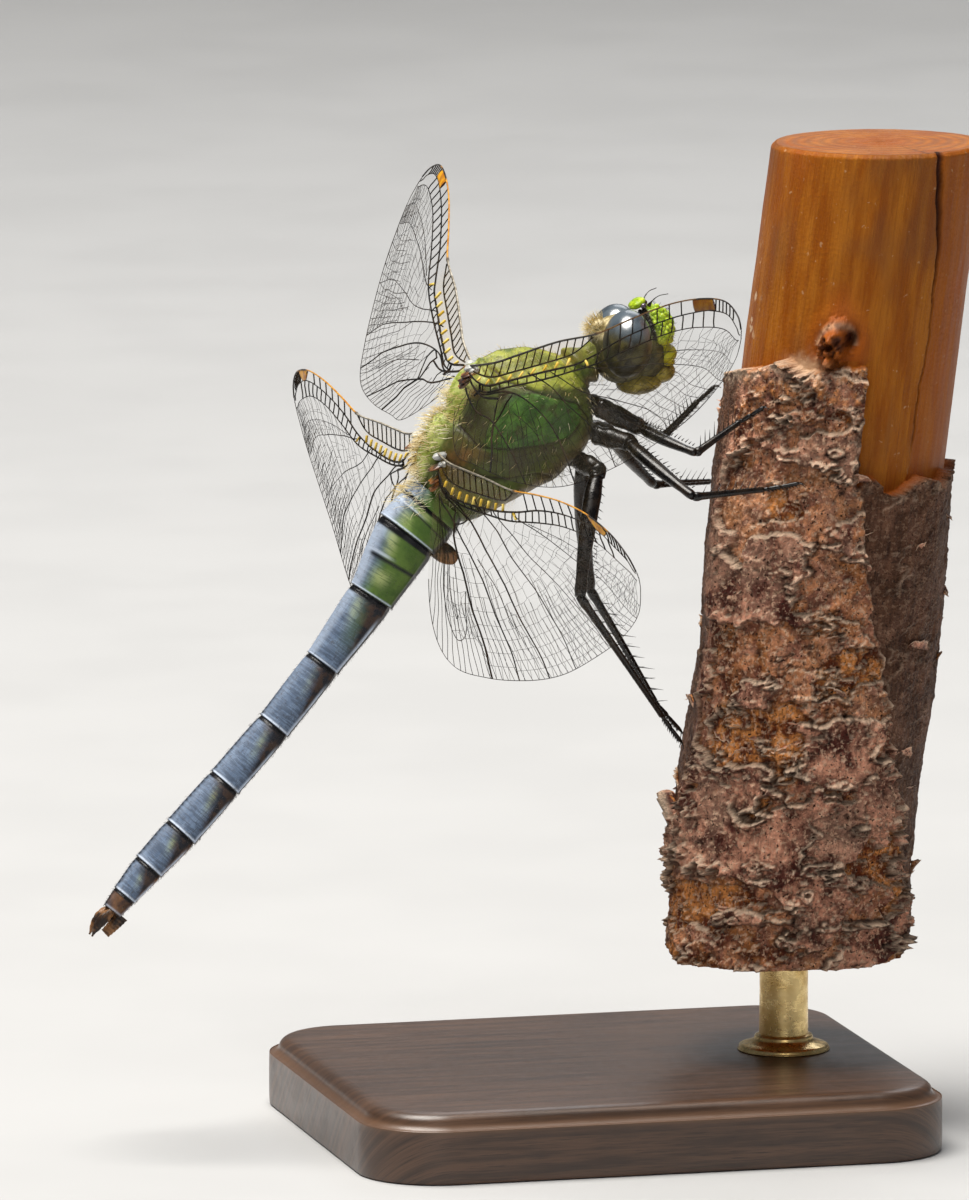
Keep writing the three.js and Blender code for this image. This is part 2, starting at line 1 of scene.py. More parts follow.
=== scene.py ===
# Male pondhawk dragonfly gripping a cut branch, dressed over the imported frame.
# Lengths are in millimetres until a mesh is made, which turns them into metres.
# +X is where the head points, -Y is the animal's right side, +Z is up.
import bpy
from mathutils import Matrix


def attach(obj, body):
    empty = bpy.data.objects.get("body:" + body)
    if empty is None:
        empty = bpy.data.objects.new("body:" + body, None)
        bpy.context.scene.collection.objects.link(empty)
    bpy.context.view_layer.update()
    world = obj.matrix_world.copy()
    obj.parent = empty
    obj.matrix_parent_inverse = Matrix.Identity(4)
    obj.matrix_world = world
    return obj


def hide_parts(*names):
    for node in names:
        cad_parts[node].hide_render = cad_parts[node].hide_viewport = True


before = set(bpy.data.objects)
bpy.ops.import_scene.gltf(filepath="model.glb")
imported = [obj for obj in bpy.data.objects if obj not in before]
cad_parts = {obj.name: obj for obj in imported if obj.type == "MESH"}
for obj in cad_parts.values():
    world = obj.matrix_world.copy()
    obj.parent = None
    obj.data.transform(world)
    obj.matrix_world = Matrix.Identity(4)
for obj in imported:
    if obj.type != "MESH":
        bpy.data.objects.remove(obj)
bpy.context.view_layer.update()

import math
import random

import bpy
import numpy as np
from mathutils import Matrix, Vector

MM = 0.001
BODY = "root"

# ---------- the body's own dimensions ----------
THORAX_REAR = (-9.12, 0.0, 32.17)
THORAX_PITCH = 39.8
HEAD_CENTRE = (1.15, 0.0, 39.75)
HEAD_PITCH = 6.0
WAIST = (-8.5, 0.0, 32.2)
EYE = dict(length=2.5, breadth=3.0, height=3.5, lean=26.0, tip=14.0, forward=-0.26, side=1.3, up=0.2)

# Thorax stations: forward, crown, belly, half width.
THORAX_STATIONS = (
    (0.35, 1.15, -1.5, 1.1), (0.75, 1.75, -2.05, 1.7), (1.3, 2.3, -2.3, 2.1), (2.4, 2.75, -2.6, 2.45),
    (4.2, 3.45, -3.05, 2.7), (6.0, 3.8, -3.35, 2.75), (7.6, 3.35, -3.3, 2.55), (8.7, 2.6, -2.8, 2.15),
    (9.4, 1.75, -1.9, 1.5), (9.75, 1.1, -1.3, 1.0),
)
THORAX_TOP_NARROWING = 0.45

# Abdomen segments from the waist back: length, pitch, depth and width at the rear rim.
ABDOMEN_FRONT = (3.1, 2.9)
ABDOMEN = (
    (0.75, 51.5, 3.5, 3.2), (1.6, 44.0, 3.5, 3.3), (3.56, 59.0, 2.5, 2.5), (4.14, 52.5, 1.95, 2.15),
    (3.96, 50.5, 1.85, 2.2), (3.75, 47.4, 1.85, 2.35), (3.29, 47.0, 1.9, 2.4), (2.36, 45.3, 1.7, 2.15),
    (1.87, 47.8, 1.3, 1.75), (0.99, 50.0, 1.0, 1.4),
)

# Wing outlines as shares of wing length: place along the span, leading edge, trailing edge.
# The nodus is a share of the span, front where the second and third long veins lie across the chord.
FOREWING = dict(length=32.5, nodus=0.5, front=(0.14, 0.235), outline=(
    (0.0, 0.009, -0.03), (0.05, 0.004, -0.098), (0.12, 0.0, -0.16), (0.2, 0.002, -0.184),
    (0.35, 0.005, -0.223), (0.5, -0.001, -0.245), (0.62, 0.005, -0.236), (0.75, 0.008, -0.211),
    (0.86, 0.0, -0.179), (0.94, -0.016, -0.141), (0.985, -0.044, -0.108), (1.0, -0.071, -0.078),
))
HINDWING = dict(length=31.0, nodus=0.44, front=(0.10, 0.16), outline=(
    (0.0, 0.01, -0.05), (0.03, 0.005, -0.192), (0.08, 0.001, -0.275), (0.16, 0.001, -0.316),
    (0.28, 0.001, -0.319), (0.42, -0.001, -0.307), (0.56, 0.006, -0.284), (0.7, 0.009, -0.244),
    (0.83, 0.002, -0.201), (0.93, -0.019, -0.156), (0.983, -0.05, -0.111), (1.0, -0.081, -0.086),
))
# Root in the thorax's frame, then sweep, lift, pitch, twist, bend and droop in degrees.
WINGS = {
    "forewing_right": (FOREWING, 1, (5.6, 1.5, 4.06), 15.9, 5.0, 17.2, 23.4, 2.6, 0.4),
    "forewing_left": (FOREWING, -1, (6.11, 1.5, 3.38), 15.6, 2.15, 14.3, 5.1, 3.9, -0.35),
    "hindwing_right": (HINDWING, 1, (1.65, 1.5, 1.72), 2.3, 0.1, 41.7, 29.2, 0.9, -0.5),
    "hindwing_left": (HINDWING, -1, (1.82, 1.5, 2.37), -0.8, -2.9, 41.8, 17.6, 3.7, -3.5),
}
NODUS_SPREAD = 0.12

# Leg joints: root, hip, knee, ankle and claw tip.
LEGS = {
    "front_leg_right": ((-.25, -.9, 36.6), (1.35, -1.5, 35.8), (3.52, -4.6, 34.8),
                        (6.04, -3.5, 36.1), (7.4, -3.95, 37.0)),
    "middle_leg_right": ((-.5, -1, 35.3), (.7, -1.95, 35.1), (2.87, -6.6, 32.91),
                         (6.85, -5.1, 32.9), (8.83, -5.75, 33.3)),
    "hind_leg_right": ((-1.4, -1, 34.0), (-.85, -1.9, 33.7), (-2.55, -5, 27.85),
                       (2.62, -1.5, 21.1), (3.95, -.95, 19.4)),
    "front_leg_left": ((-.25, .9, 36.6), (1.35, 1.5, 35.8), (4.38, 4.6, 34.32),
                       (5.75, 3.3, 36.2), (6.75, 3.2, 37.1)),
    "middle_leg_left": ((-.5, 1, 35.3), (.7, 1.95, 35.1), (4.13, 5.6, 31.7),
                        (7.3, 6.6, 31.6), (9.4, 6.65, 32.1)),
    "hind_leg_left": ((-1.4, 1, 34.0), (-.6, 1.9, 33.6), (.58, 4.8, 26.6),
                      (3.9, 4.5, 20.8), (5.6, 4.9, 18.9)),
}

BRANCH = dict(bottom=8.6, top=49.5, foot_x=9.45, top_x=14.3, bend=-0.25, wood=5.4, bark=6.3, edge=38.2,
              drop=6.0)
STAND = dict(length=30.0, width=26.0, thickness=3.5, corner=4.0, rod=1.25)


# ---------- small maths ----------
def ramp(value, low, high):
    """0 below low, 1 above high, smooth between."""
    t = np.clip((np.asarray(value, float) - low) / (high - low), 0, 1)
    return t * t * (3 - 2 * t)


def bump_at(value, middle, spread):
    """1 at the middle, fading over the spread."""
    return np.exp(-((np.asarray(value, float) - middle) / spread) ** 2)


def unit(vectors):
    """The same directions, each one long."""
    vectors = np.asarray(vectors, float)
    return vectors / np.maximum(np.linalg.norm(vectors, axis=-1, keepdims=True), 1e-9)


def circle(count):
    """Angles once around, without the last."""
    return np.linspace(0, 2 * math.pi, count, endpoint=False)


def smooth_line(points, count):
    """A Catmull-Rom line through the points."""
    p = np.asarray(points, float)
    p = np.vstack([2 * p[0] - p[1], p, 2 * p[-1] - p[-2]])
    place = np.linspace(0, len(p) - 3 - 1e-9, count)
    k = place.astype(int)
    t = (place - k)[:, None]
    a, b, c, d = p[k], p[k + 1], p[k + 2], p[k + 3]
    return 0.5 * (2 * b + (c - a) * t + (2 * a - 5 * b + 4 * c - d) * t ** 2
                  + (3 * b - a - 3 * c + d) * t ** 3)


def evenly(points, count, start=0.0, end=1.0):
    """The line's points at even steps of its length, between two shares of it."""
    p = np.asarray(points, float)
    run = np.concatenate([[0], np.cumsum(np.linalg.norm(np.diff(p, axis=0), axis=1))])
    at = np.linspace(start, end, count) * run[-1]
    return np.stack([np.interp(at, run, p[:, i]) for i in range(p.shape[1])], 1)


def grain_noise(points, seed=0):
    """Smooth lattice noise, -1 to 1."""
    p = np.asarray(points, float)
    cell = np.floor(p).astype(np.int64)
    fade = p - cell
    fade = fade * fade * (3 - 2 * fade)
    total = np.zeros(len(p))
    for corner in range(8):
        step = np.array([corner & 1, corner >> 1 & 1, corner >> 2 & 1])
        h = scramble(cell + step, seed)
        weight = np.prod(np.where(step == 1, fade, 1 - fade), axis=1)
        total += weight * (h * 2 - 1)
    return total


def scramble(cell, seed):
    """A fixed number from 0 to 1 for each whole-numbered cell."""
    h = cell[:, 0] * 374761393 + cell[:, 1] * 668265263 + cell[:, 2] * 1442695041 + seed * 974634777
    h = (h ^ (h >> 13)) * 1274126177 & 0x7FFFFFFF
    h = (h ^ (h >> 16)) * 1103515245 & 0x7FFFFFFF
    return (h >> 8 & 0xFFFF) / 65535.0


def layered_noise(points, octaves, seed=0):
    """Noise with ever finer noise added, -1 to 1."""
    p = np.asarray(points, float)
    total, weight = np.zeros(len(p)), 0.0
    for i in range(octaves):
        total += grain_noise(p * 2 ** i, seed + i) * 0.5 ** i
        weight += 0.5 ** i
    return total / weight


def plates(points, seed=0):
    """Cells of a scattered pattern: the nearest cell's own number, and how far its border is."""
    p = np.asarray(points, float)
    home = np.floor(p).astype(np.int64)
    near = np.full(len(p), 9.0)
    second = np.full(len(p), 9.0)
    number = np.zeros(len(p))
    for dx in (-1, 0, 1):
        for dy in (-1, 0, 1):
            for dz in (-1, 0, 1):
                cell = home + np.array([dx, dy, dz])
                offset = np.stack([scramble(cell, seed + k) for k in (1, 2, 3)], 1)
                far = np.linalg.norm(cell + offset - p, axis=1)
                closer = far < near
                second = np.where(closer, near, np.minimum(second, far))
                number = np.where(closer, scramble(cell, seed + 4), number)
                near = np.where(closer, far, near)
    return number, second - near


# ---------- frames ----------
def pitched(degrees):
    """Forward, pitched up by the angle."""
    return np.array([math.cos(math.radians(degrees)), 0.0, math.sin(math.radians(degrees))])


def body_axes(pitch):
    """Rows: forward, left, up."""
    return np.array([pitched(pitch), [0, 1, 0], pitched(pitch + 90)])


def from_thorax(points):
    return np.asarray(points, float) @ body_axes(THORAX_PITCH) + np.array(THORAX_REAR)


def from_head(points):
    return np.asarray(points, float) @ body_axes(HEAD_PITCH) + np.array(HEAD_CENTRE)


# ---------- mesh making ----------
def make_mesh(name, points, quads=(), tris=()):
    mesh = bpy.data.meshes.new(name)
    points = np.asarray(points, np.float32) * MM
    corners, sizes = [], []
    for faces, size in ((quads, 4), (tris, 3)):
        faces = np.asarray(faces, np.int32).reshape(-1, size)
        corners.append(faces.ravel())
        sizes.append(np.full(len(faces), size, np.int32))
    corners, sizes = np.concatenate(corners), np.concatenate(sizes)
    mesh.vertices.add(len(points))
    mesh.vertices.foreach_set("co", points.ravel())
    mesh.loops.add(len(corners))
    mesh.loops.foreach_set("vertex_index", corners)
    mesh.polygons.add(len(sizes))
    mesh.polygons.foreach_set("loop_start", np.concatenate([[0], np.cumsum(sizes)[:-1]]).astype(np.int32))
    mesh.polygons.foreach_set("use_smooth", np.ones(len(sizes), bool))
    mesh.update(calc_edges=True)
    mesh.validate()
    return mesh


def make_piece(name, shape, look, replaced=(), masks=None):
    """shape is points, quads, tris; look names one of LOOKS; masks are values of each point it reads."""
    mesh = make_mesh(name, *shape)
    finish, own_slot = LOOKS[look]
    for mask, values in (masks or {}).items():
        layer = mesh.attributes.new(mask, "FLOAT", "POINT")
        layer.data.foreach_set("value", np.asarray(values, np.float32))
    mesh.materials.append(finish)
    piece = bpy.data.objects.new(name, mesh)
    bpy.context.scene.collection.objects.link(piece)
    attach(piece, BODY)
    if replaced:
        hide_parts(*replaced)
    return piece


def joined(shapes):
    """Several shapes as one."""
    points, quads, tris, first = [], [], [], 0
    for p, q, t in shapes:
        points.append(np.asarray(p, float))
        quads.append(np.asarray(q, int).reshape(-1, 4) + first)
        tris.append(np.asarray(t, int).reshape(-1, 3) + first)
        first += len(p)
    return np.vstack(points), np.vstack(quads), np.vstack(tris)


def ring_stack(rings):
    """rings: (rows, around, 3) points, closed at both ends with a fan."""
    rows, around, _ = rings.shape
    points = np.vstack([rings.reshape(-1, 3), rings[0].mean(0), rings[-1].mean(0)])
    row, col = np.meshgrid(np.arange(rows - 1), np.arange(around), indexing="ij")
    here, across = row * around + col, row * around + (col + 1) % around
    quads = np.stack([here, across, across + around, here + around], -1).reshape(-1, 4)
    c = np.arange(around)
    last = (rows - 1) * around
    head = np.stack([np.full(around, rows * around), (c + 1) % around, c], 1)
    tail = np.stack([np.full(around, rows * around + 1), last + c, last + (c + 1) % around], 1)
    return points, quads, np.vstack([head, tail])


def grid_quads(rows, columns):
    """The quads of an open sheet of points."""
    r, c = np.meshgrid(np.arange(rows - 1), np.arange(columns - 1), indexing="ij")
    here = (r * columns + c).ravel()
    return np.stack([here, here + 1, here + columns + 1, here + columns], 1)


def along_frames(path):
    """Directions and two side vectors at each point of a path."""
    along = unit(np.gradient(np.asarray(path, float), axis=0))
    guess = np.array([0, 0, 1.0]) if abs(along[0, 2]) < 0.9 else np.array([0, 1.0, 0])
    sides = []
    side = guess
    for a in along:
        side = side - a * (side @ a)
        side = side / max(np.linalg.norm(side), 1e-9)
        sides.append(side)
    side = np.array(sides)
    return along, side, np.cross(along, side)


def swept(path, radii, around=16, flatten=1.0, lump=None):
    """A round limb along a path. flatten squeezes one way; lump adds to the radius at each angle."""
    path = np.asarray(path, float)
    _, side, up = along_frames(path)
    angle = circle(around)
    r = np.asarray(radii, float)[:, None] * np.ones(around)
    if lump is not None:
        r = r + lump(np.linspace(0, 1, len(path))[:, None], angle[None, :])
    across = side[:, None] * (np.cos(angle) * r)[..., None] * flatten
    upward = up[:, None] * (np.sin(angle) * r)[..., None]
    return ring_stack(path[:, None] + (across + upward))


def strands(paths, radii, around=3):
    """Many thin rods of 3 or 4 sides at once. paths: (count, steps, 3); radii: (count, steps)."""
    paths, radii = np.asarray(paths, float), np.asarray(radii, float)
    count, steps, _ = paths.shape
    along = unit(np.gradient(paths, axis=1))
    guess = np.where(np.abs(along[:, :1, 2:3]) < 0.8, np.array([0, 0, 1.0]), np.array([1.0, 0, 0]))
    side = unit(np.cross(along, np.broadcast_to(guess, along.shape)))
    up = np.cross(along, side)
    angle = circle(around)
    ring = side[:, :, None] * np.cos(angle)[:, None] + up[:, :, None] * np.sin(angle)[:, None]
    points = (paths[:, :, None] + ring * radii[:, :, None, None]).reshape(-1, 3)
    base = np.arange(count)[:, None, None] * steps * around
    row, col = np.meshgrid(np.arange(steps - 1), np.arange(around), indexing="ij")
    here = base + row * around + col
    across = base + row * around + (col + 1) % around
    quads = np.stack([here, across, across + around, here + around], -1).reshape(-1, 4)
    start = np.arange(count)[:, None] * steps * around
    head = start + np.arange(around)[::-1]
    tail = start + (steps - 1) * around + np.arange(around)
    if around == 3:
        return points, quads, np.vstack([head, tail])
    return points, np.vstack([quads, head, tail]), np.zeros((0, 3), int)


def egg_shape(centre, radii, rows=40, around=56, move=None):
    """An ellipsoid; move(unit points) returns an added length along each point's direction."""
    polar = np.linspace(0.02, math.pi - 0.02, rows)[:, None]
    angle = circle(around)[None]
    level = np.cos(polar) * np.ones_like(angle)
    ball = np.stack([np.sin(polar) * np.cos(angle), np.sin(polar) * np.sin(angle), level], -1)
    grow = np.ones(ball.shape[:2]) if move is None else 1 + move(ball)
    rings = np.array(centre) + ball * grow[..., None] * np.array(radii)
    return ring_stack(rings[:, ::-1])
# ---------- finishes ----------
def plug(tree, socket, value):
    """Wire the value to the socket, or set it there; a plain colour is made opaque."""
    if isinstance(value, bpy.types.NodeSocket):
        tree.links.new(value, socket)
    else:
        socket.default_value = (*value, 1.0) if isinstance(value, tuple) else value


class Layers:
    """Nodes being laid one over another in a node tree."""

    def __init__(self, tree):
        self.tree = tree

    def add(self, kind, wires=None, **settings):
        node = self.tree.nodes.new(kind)
        for key, value in settings.items():
            setattr(node, key, value)
        for key, value in (wires or {}).items():
            plug(self.tree, node.inputs[key], value)
        return node

    def layer(self, factor, under, over):
        """The over colour laid on the under colour where the factor is 1."""
        return self.add("ShaderNodeMix", {0: factor, 6: under, 7: over}, data_type="RGBA").outputs[2]

    def sum_of(self, operation, a, b, clamp=False):
        return self.add("ShaderNodeMath", {0: a, 1: b}, operation=operation, use_clamp=clamp).outputs[0]

    def times(self, a, b, clamp=False):
        return self.sum_of("MULTIPLY", a, b, clamp)

    def plus(self, a, b, clamp=False):
        return self.sum_of("ADD", a, b, clamp)

    def minus(self, a, b, clamp=False):
        return self.sum_of("SUBTRACT", a, b, clamp)

    def mask(self, name):
        return self.add("ShaderNodeAttribute", attribute_name=name).outputs["Fac"]

    def marked(self, colour, **tops):
        """Each top colour laid on the colour where the mask of its name is 1, in the order given."""
        for name, top in tops.items():
            colour = self.layer(self.mask(name), colour, top)
        return colour

    def between(self, factor, low, high):
        return self.add("ShaderNodeMapRange",
                        {"Value": factor, "To Min": low, "To Max": high}).outputs["Result"]


class Group(Layers):
    """A shared effect with sockets of its own, all plain numbers."""

    def __init__(self, name, output, **inputs):
        super().__init__(bpy.data.node_groups.new(name, "ShaderNodeTree"))
        for key, value in inputs.items():
            socket = self.tree.interface.new_socket(key, in_out="INPUT", socket_type="NodeSocketFloat")
            socket.default_value = value
        self.tree.interface.new_socket(output, in_out="OUTPUT", socket_type="NodeSocketFloat")
        self.given = self.tree.nodes.new("NodeGroupInput").outputs
        self.leave = self.tree.nodes.new("NodeGroupOutput").inputs[output]

    def end(self, value):
        self.tree.links.new(value, self.leave)
        return self.tree

    def end_between_limits(self, cloud):
        """A mask: 0 where the cloud is under the low limit, 1 over the high limit."""
        given = self.given
        wires = {"Value": cloud.outputs["Fac"], "From Min": given["Low"], "From Max": given["High"]}
        smooth = self.add("ShaderNodeMapRange", wires, interpolation_type="SMOOTHSTEP")
        return self.end(smooth.outputs["Result"])


def make_mottle_group():
    """Soft patches between two limits."""
    group = Group("mottle", "Mask", Scale=800.0, Detail=3.0, Low=0.4, High=0.6)
    where = group.add("ShaderNodeTexCoord").outputs["Object"]
    return group.end_between_limits(group.add("ShaderNodeTexNoise", {
        "Vector": where, "Scale": group.given["Scale"], "Detail": group.given["Detail"], "Roughness": 0.6}))


def make_drawn_group():
    """Fine lines drawn out along the piece's own length, from its along and around values."""
    group = Group("drawn lines", "Mask", Along=1.0, Around=10.0, Low=0.4, High=0.6)
    along = group.times(group.mask("along"), group.given["Along"])
    around = group.times(group.mask("around"), group.given["Around"])
    where = group.add("ShaderNodeCombineXYZ", {0: along, 1: around}).outputs[0]
    return group.end_between_limits(group.add("ShaderNodeTexNoise", {
        "Vector": where, "Scale": 1.0, "Detail": 4.0, "Roughness": 0.65}))


def make_pore_group():
    """Fine pits and grains as a height."""
    group = Group("pores", "Height", Scale=9000.0, Grain=0.5)
    where = group.add("ShaderNodeTexCoord").outputs["Object"]
    pits = group.add("ShaderNodeTexVoronoi", {"Vector": where, "Scale": group.given["Scale"]})
    finer = group.times(group.given["Scale"], 2.7)
    grain = group.add("ShaderNodeTexNoise", {"Vector": where, "Scale": finer, "Detail": 2.0})
    grained = group.times(grain.outputs["Fac"], group.given["Grain"])
    return group.end(group.plus(pits.outputs["Distance"], grained))


MOTTLE = make_mottle_group()
DRAWN = make_drawn_group()
PORES = make_pore_group()


class Finish(Layers):
    """A material being built up in layers."""

    def __init__(self, name, **settings):
        self.material = bpy.data.materials.new(name)
        self.material.use_nodes = True
        super().__init__(self.material.node_tree)
        self.shader = self.tree.nodes["Principled BSDF"]
        for key, value in settings.items():
            self.shader.inputs[key.replace("_", " ")].default_value = value

    def place(self, group, **values):
        node = self.tree.nodes.new("ShaderNodeGroup")
        node.node_tree = group
        for key, value in values.items():
            plug(self.tree, node.inputs[key], value)
        return node.outputs[0]

    def mottle(self, scale, low=0.4, high=0.6, detail=3.0):
        return self.place(MOTTLE, Scale=scale, Low=low, High=high, Detail=detail)

    def drawn(self, along, around, low=0.4, high=0.6):
        return self.place(DRAWN, Along=along, Around=around, Low=low, High=high)

    def pores(self, scale, grain=0.5):
        return self.place(PORES, Scale=scale, Grain=grain)

    def patches(self, dark, light, scale, low=0.4, high=0.6, detail=3.0):
        """A dark and a light colour in soft patches."""
        return self.layer(self.mottle(scale, low, high, detail), dark, light)

    def uneven(self, scale, low, high):
        """A roughness that wanders between two values in patches."""
        return self.between(self.mottle(scale), low, high)

    def feed(self, key, value):
        self.tree.links.new(value, self.shader.inputs[key])

    def end(self, colour, roughness, height=None, strength=0.3, distance=0.02):
        self.feed("Base Color", colour)
        self.feed("Roughness", roughness)
        if height is not None:
            relief = self.add("ShaderNodeBump",
                              {"Height": height, "Strength": strength, "Distance": distance * MM})
            self.feed("Normal", relief.outputs["Normal"])
        return self.material


def finish_eye():
    f = Finish("compound eye", Coat_Roughness=0.22, Coat_IOR=2.1, IOR=1.2)
    above = f.patches((0.038, 0.056, 0.074), (0.090, 0.120, 0.150), 900)
    # The lower colour is partly the eye's own dark olive, partly painted shade: its near-black stands for
    # the shade under the forewing.
    below = f.patches((0.016, 0.013, 0.005), (0.085, 0.070, 0.018), 1100, detail=5.0)
    colour = f.marked(below, above=above, spots=(0.02, 0.02, 0.025), rim=(0.02, 0.02, 0.015))
    f.feed("Coat Weight", f.between(f.mask("above"), 0.15, 1.0))
    return f.end(colour, f.uneven(4000, 0.3, 0.45), f.pores(30000, 0.1), 0.12, 0.01)


def finish_face():
    f = Finish("green face", Specular_IOR_Level=0.3, IOR=1.45, Subsurface_Weight=0.12,
               Subsurface_Scale=0.4 * MM, Subsurface_Radius=(0.6, 1.0, 0.2))
    green = f.patches((0.30, 0.44, 0.010), (0.66, 0.82, 0.05), 1500)
    # The pits colour is painted shade: a darker green in the grooves between the face's bumps.
    colour = f.marked(green, low=(0.58, 0.47, 0.02), pits=(0.06, 0.14, 0.01), dark=(0.012, 0.010, 0.008))
    return f.end(colour, f.uneven(5000, 0.22, 0.40), f.pores(14000), 0.35, 0.02)


def finish_lip():
    f = Finish("yellow-brown mouthparts", IOR=1.5, Specular_IOR_Level=0.35)
    yellow = f.patches((0.10, 0.075, 0.010), (0.36, 0.27, 0.03), 900)
    colour = f.marked(yellow, dark=(0.03, 0.018, 0.008))
    return f.end(colour, f.uneven(4000, 0.3, 0.5), f.pores(12000), 0.3, 0.02)


def finish_shell():
    """The head's own shell: dark olive, cream on the crown behind the eyes."""
    f = Finish("head shell", IOR=1.45, Specular_IOR_Level=0.3)
    olive = f.patches((0.035, 0.030, 0.010), (0.10, 0.085, 0.03), 1500)
    cream = f.patches((0.24, 0.19, 0.08), (0.66, 0.56, 0.33), 2200)
    colour = f.marked(olive, crown=cream)
    return f.end(colour, f.uneven(4000, 0.35, 0.5), f.pores(12000), 0.3, 0.02)


def finish_thorax():
    f = Finish("green thorax", Specular_IOR_Level=0.3, IOR=1.45, Subsurface_Weight=0.06,
               Subsurface_Scale=0.4 * MM, Subsurface_Radius=(0.5, 1.0, 0.2))
    green = f.patches((0.050, 0.048, 0.016), (0.085, 0.115, 0.022), 700, 0.35, 0.65)
    panel = f.patches((0.030, 0.085, 0.012), (0.070, 0.170, 0.022), 1100)
    shoulder = f.patches((0.10, 0.14, 0.014), (0.40, 0.43, 0.06), 900)
    pale = f.patches((0.26, 0.32, 0.05), (0.56, 0.62, 0.20), 1200)
    under = f.patches((0.060, 0.048, 0.018), (0.15, 0.11, 0.045), 900)
    tawny = f.patches((0.050, 0.026, 0.008), (0.16, 0.065, 0.014), 1500)
    colour = f.marked(green, panel=panel, shoulder=shoulder, back=pale, under=under, tawny=tawny)
    blotches = f.times(f.mottle(1700, 0.53, 0.66, 5.0), 0.6)
    colour = f.layer(blotches, colour, (0.040, 0.030, 0.010))
    freckles = f.times(f.mottle(5200, 0.60, 0.68), 0.6)
    colour = f.layer(freckles, colour, (0.03, 0.05, 0.012))
    colour = f.marked(colour, seam=(0.020, 0.013, 0.005))
    return f.end(colour, f.uneven(3000, 0.33, 0.55), f.pores(11000), 0.35, 0.025)


def finish_abdomen():
    f = Finish("blue-bloomed abdomen", IOR=1.45, Specular_IOR_Level=0.4)
    bloom = f.patches((0.095, 0.145, 0.235), (0.185, 0.26, 0.385), 1400, 0.35, 0.65)
    bloom = f.layer(f.drawn(0.9, 26.0, 0.45, 0.62), bloom, (0.13, 0.175, 0.26))
    hatch = f.drawn(7.5, 0.9, 0.46, 0.56)
    bloom = f.layer(f.times(hatch, 0.55), bloom, (0.050, 0.068, 0.105))
    worn = f.times(f.mottle(3600, 0.6, 0.7), 0.6)
    bloom = f.layer(worn, bloom, (0.06, 0.06, 0.075))
    green = f.patches((0.060, 0.125, 0.016), (0.115, 0.20, 0.030), 800, 0.35, 0.65)
    colour = f.marked(bloom, green=green)
    patch = f.times(f.mask("patch"), f.between(hatch, 0.95, 0.35))
    colour = f.layer(patch, colour, (0.46, 0.52, 0.22))
    streaks = f.drawn(1.4, 90.0, 0.40, 0.52)
    # The darkened front-lower part of each segment is partly real dark markings, drawn as streaks, and
    # partly painted shade on the lower flank.
    dark_marks_and_shade = f.mask("dark_marks_and_shade")
    edge = f.times(f.minus(1.0, dark_marks_and_shade), 0.9)
    streaked = f.minus(f.plus(streaks, dark_marks_and_shade), edge, True)
    smudge = f.patches((0.012, 0.013, 0.020), (0.060, 0.034, 0.024), 2000)
    colour = f.layer(f.times(streaked, dark_marks_and_shade, True), colour, smudge)
    belly = f.patches((0.008, 0.008, 0.011), (0.035, 0.036, 0.045), 900)
    tawny = f.patches((0.12, 0.045, 0.015), (0.36, 0.15, 0.035), 1200)
    colour = f.marked(colour, belly=belly, tawny=tawny, rim=(0.66, 0.75, 0.90), ring=(0.005, 0.005, 0.007))
    rough = f.between(f.mask("ring"), 0.5, 0.3)
    return f.end(colour, rough, f.plus(f.pores(13000, 0.8), hatch), 0.3, 0.02)


def finish_horn(name, dark, light, rough=0.3, scale=1800, coat=0.3):
    """Glossy horny cuticle: legs, feelers, tail pieces, wing hinges."""
    f = Finish(name, Coat_Weight=coat, Coat_Roughness=0.12, IOR=1.5, Specular_IOR_Level=0.1 + coat)
    colour = f.patches(dark, light, scale, 0.4, 0.65)
    return f.end(colour, f.uneven(scale * 3, rough, rough + 0.18), f.pores(15000), 0.25, 0.015)


def finish_membrane():
    f = Finish("wing membrane", IOR=1.5, Coat_Weight=0.4, Coat_Roughness=0.1)
    clear = f.patches((0.16, 0.13, 0.07), (0.34, 0.31, 0.22), 350, 0.35, 0.65)
    colour = f.marked(clear, amber=(0.52, 0.33, 0.05))
    smoke = f.times(f.mottle(260, 0.45, 0.75, 4.0), 0.03)
    film = f.plus(smoke, 0.02)
    tinted = f.times(f.mask("amber"), 0.06)
    alpha = f.plus(film, tinted, True)
    f.feed("Alpha", alpha)
    return f.end(colour, f.uneven(900, 0.12, 0.3), f.pores(1500, 1.0), 0.08, 0.05)


def finish_stigma():
    f = Finish("amber stigma", IOR=1.4, Specular_IOR_Level=0.2)
    amber = f.patches((0.46, 0.16, 0.002), (0.78, 0.37, 0.006), 1500)
    colour = f.marked(amber, dark=(0.040, 0.008, 0.004))
    return f.end(colour, f.uneven(4000, 0.3, 0.5), f.pores(9000), 0.25, 0.02)


def finish_costa():
    """The front edge vein: cream near the body, orange-tan past the nodus, black where dark is 1."""
    f = Finish("front edge vein", IOR=1.4, Specular_IOR_Level=0.3)
    cream = f.patches((0.30, 0.26, 0.19), (0.62, 0.57, 0.47), 2500)
    tan = f.patches((0.48, 0.18, 0.008), (0.74, 0.36, 0.03), 2500)
    colour = f.marked(cream, outer=tan, dark=(0.015, 0.010, 0.007))
    return f.end(colour, f.uneven(4000, 0.28, 0.45), f.pores(9000), 0.25, 0.02)


def finish_hair(name, dark, light):
    f = Finish(name, IOR=1.5, Specular_IOR_Level=0.6)
    colour = f.patches(dark, light, 600, 0.35, 0.65)
    return f.end(colour, f.uneven(3000, 0.3, 0.5))


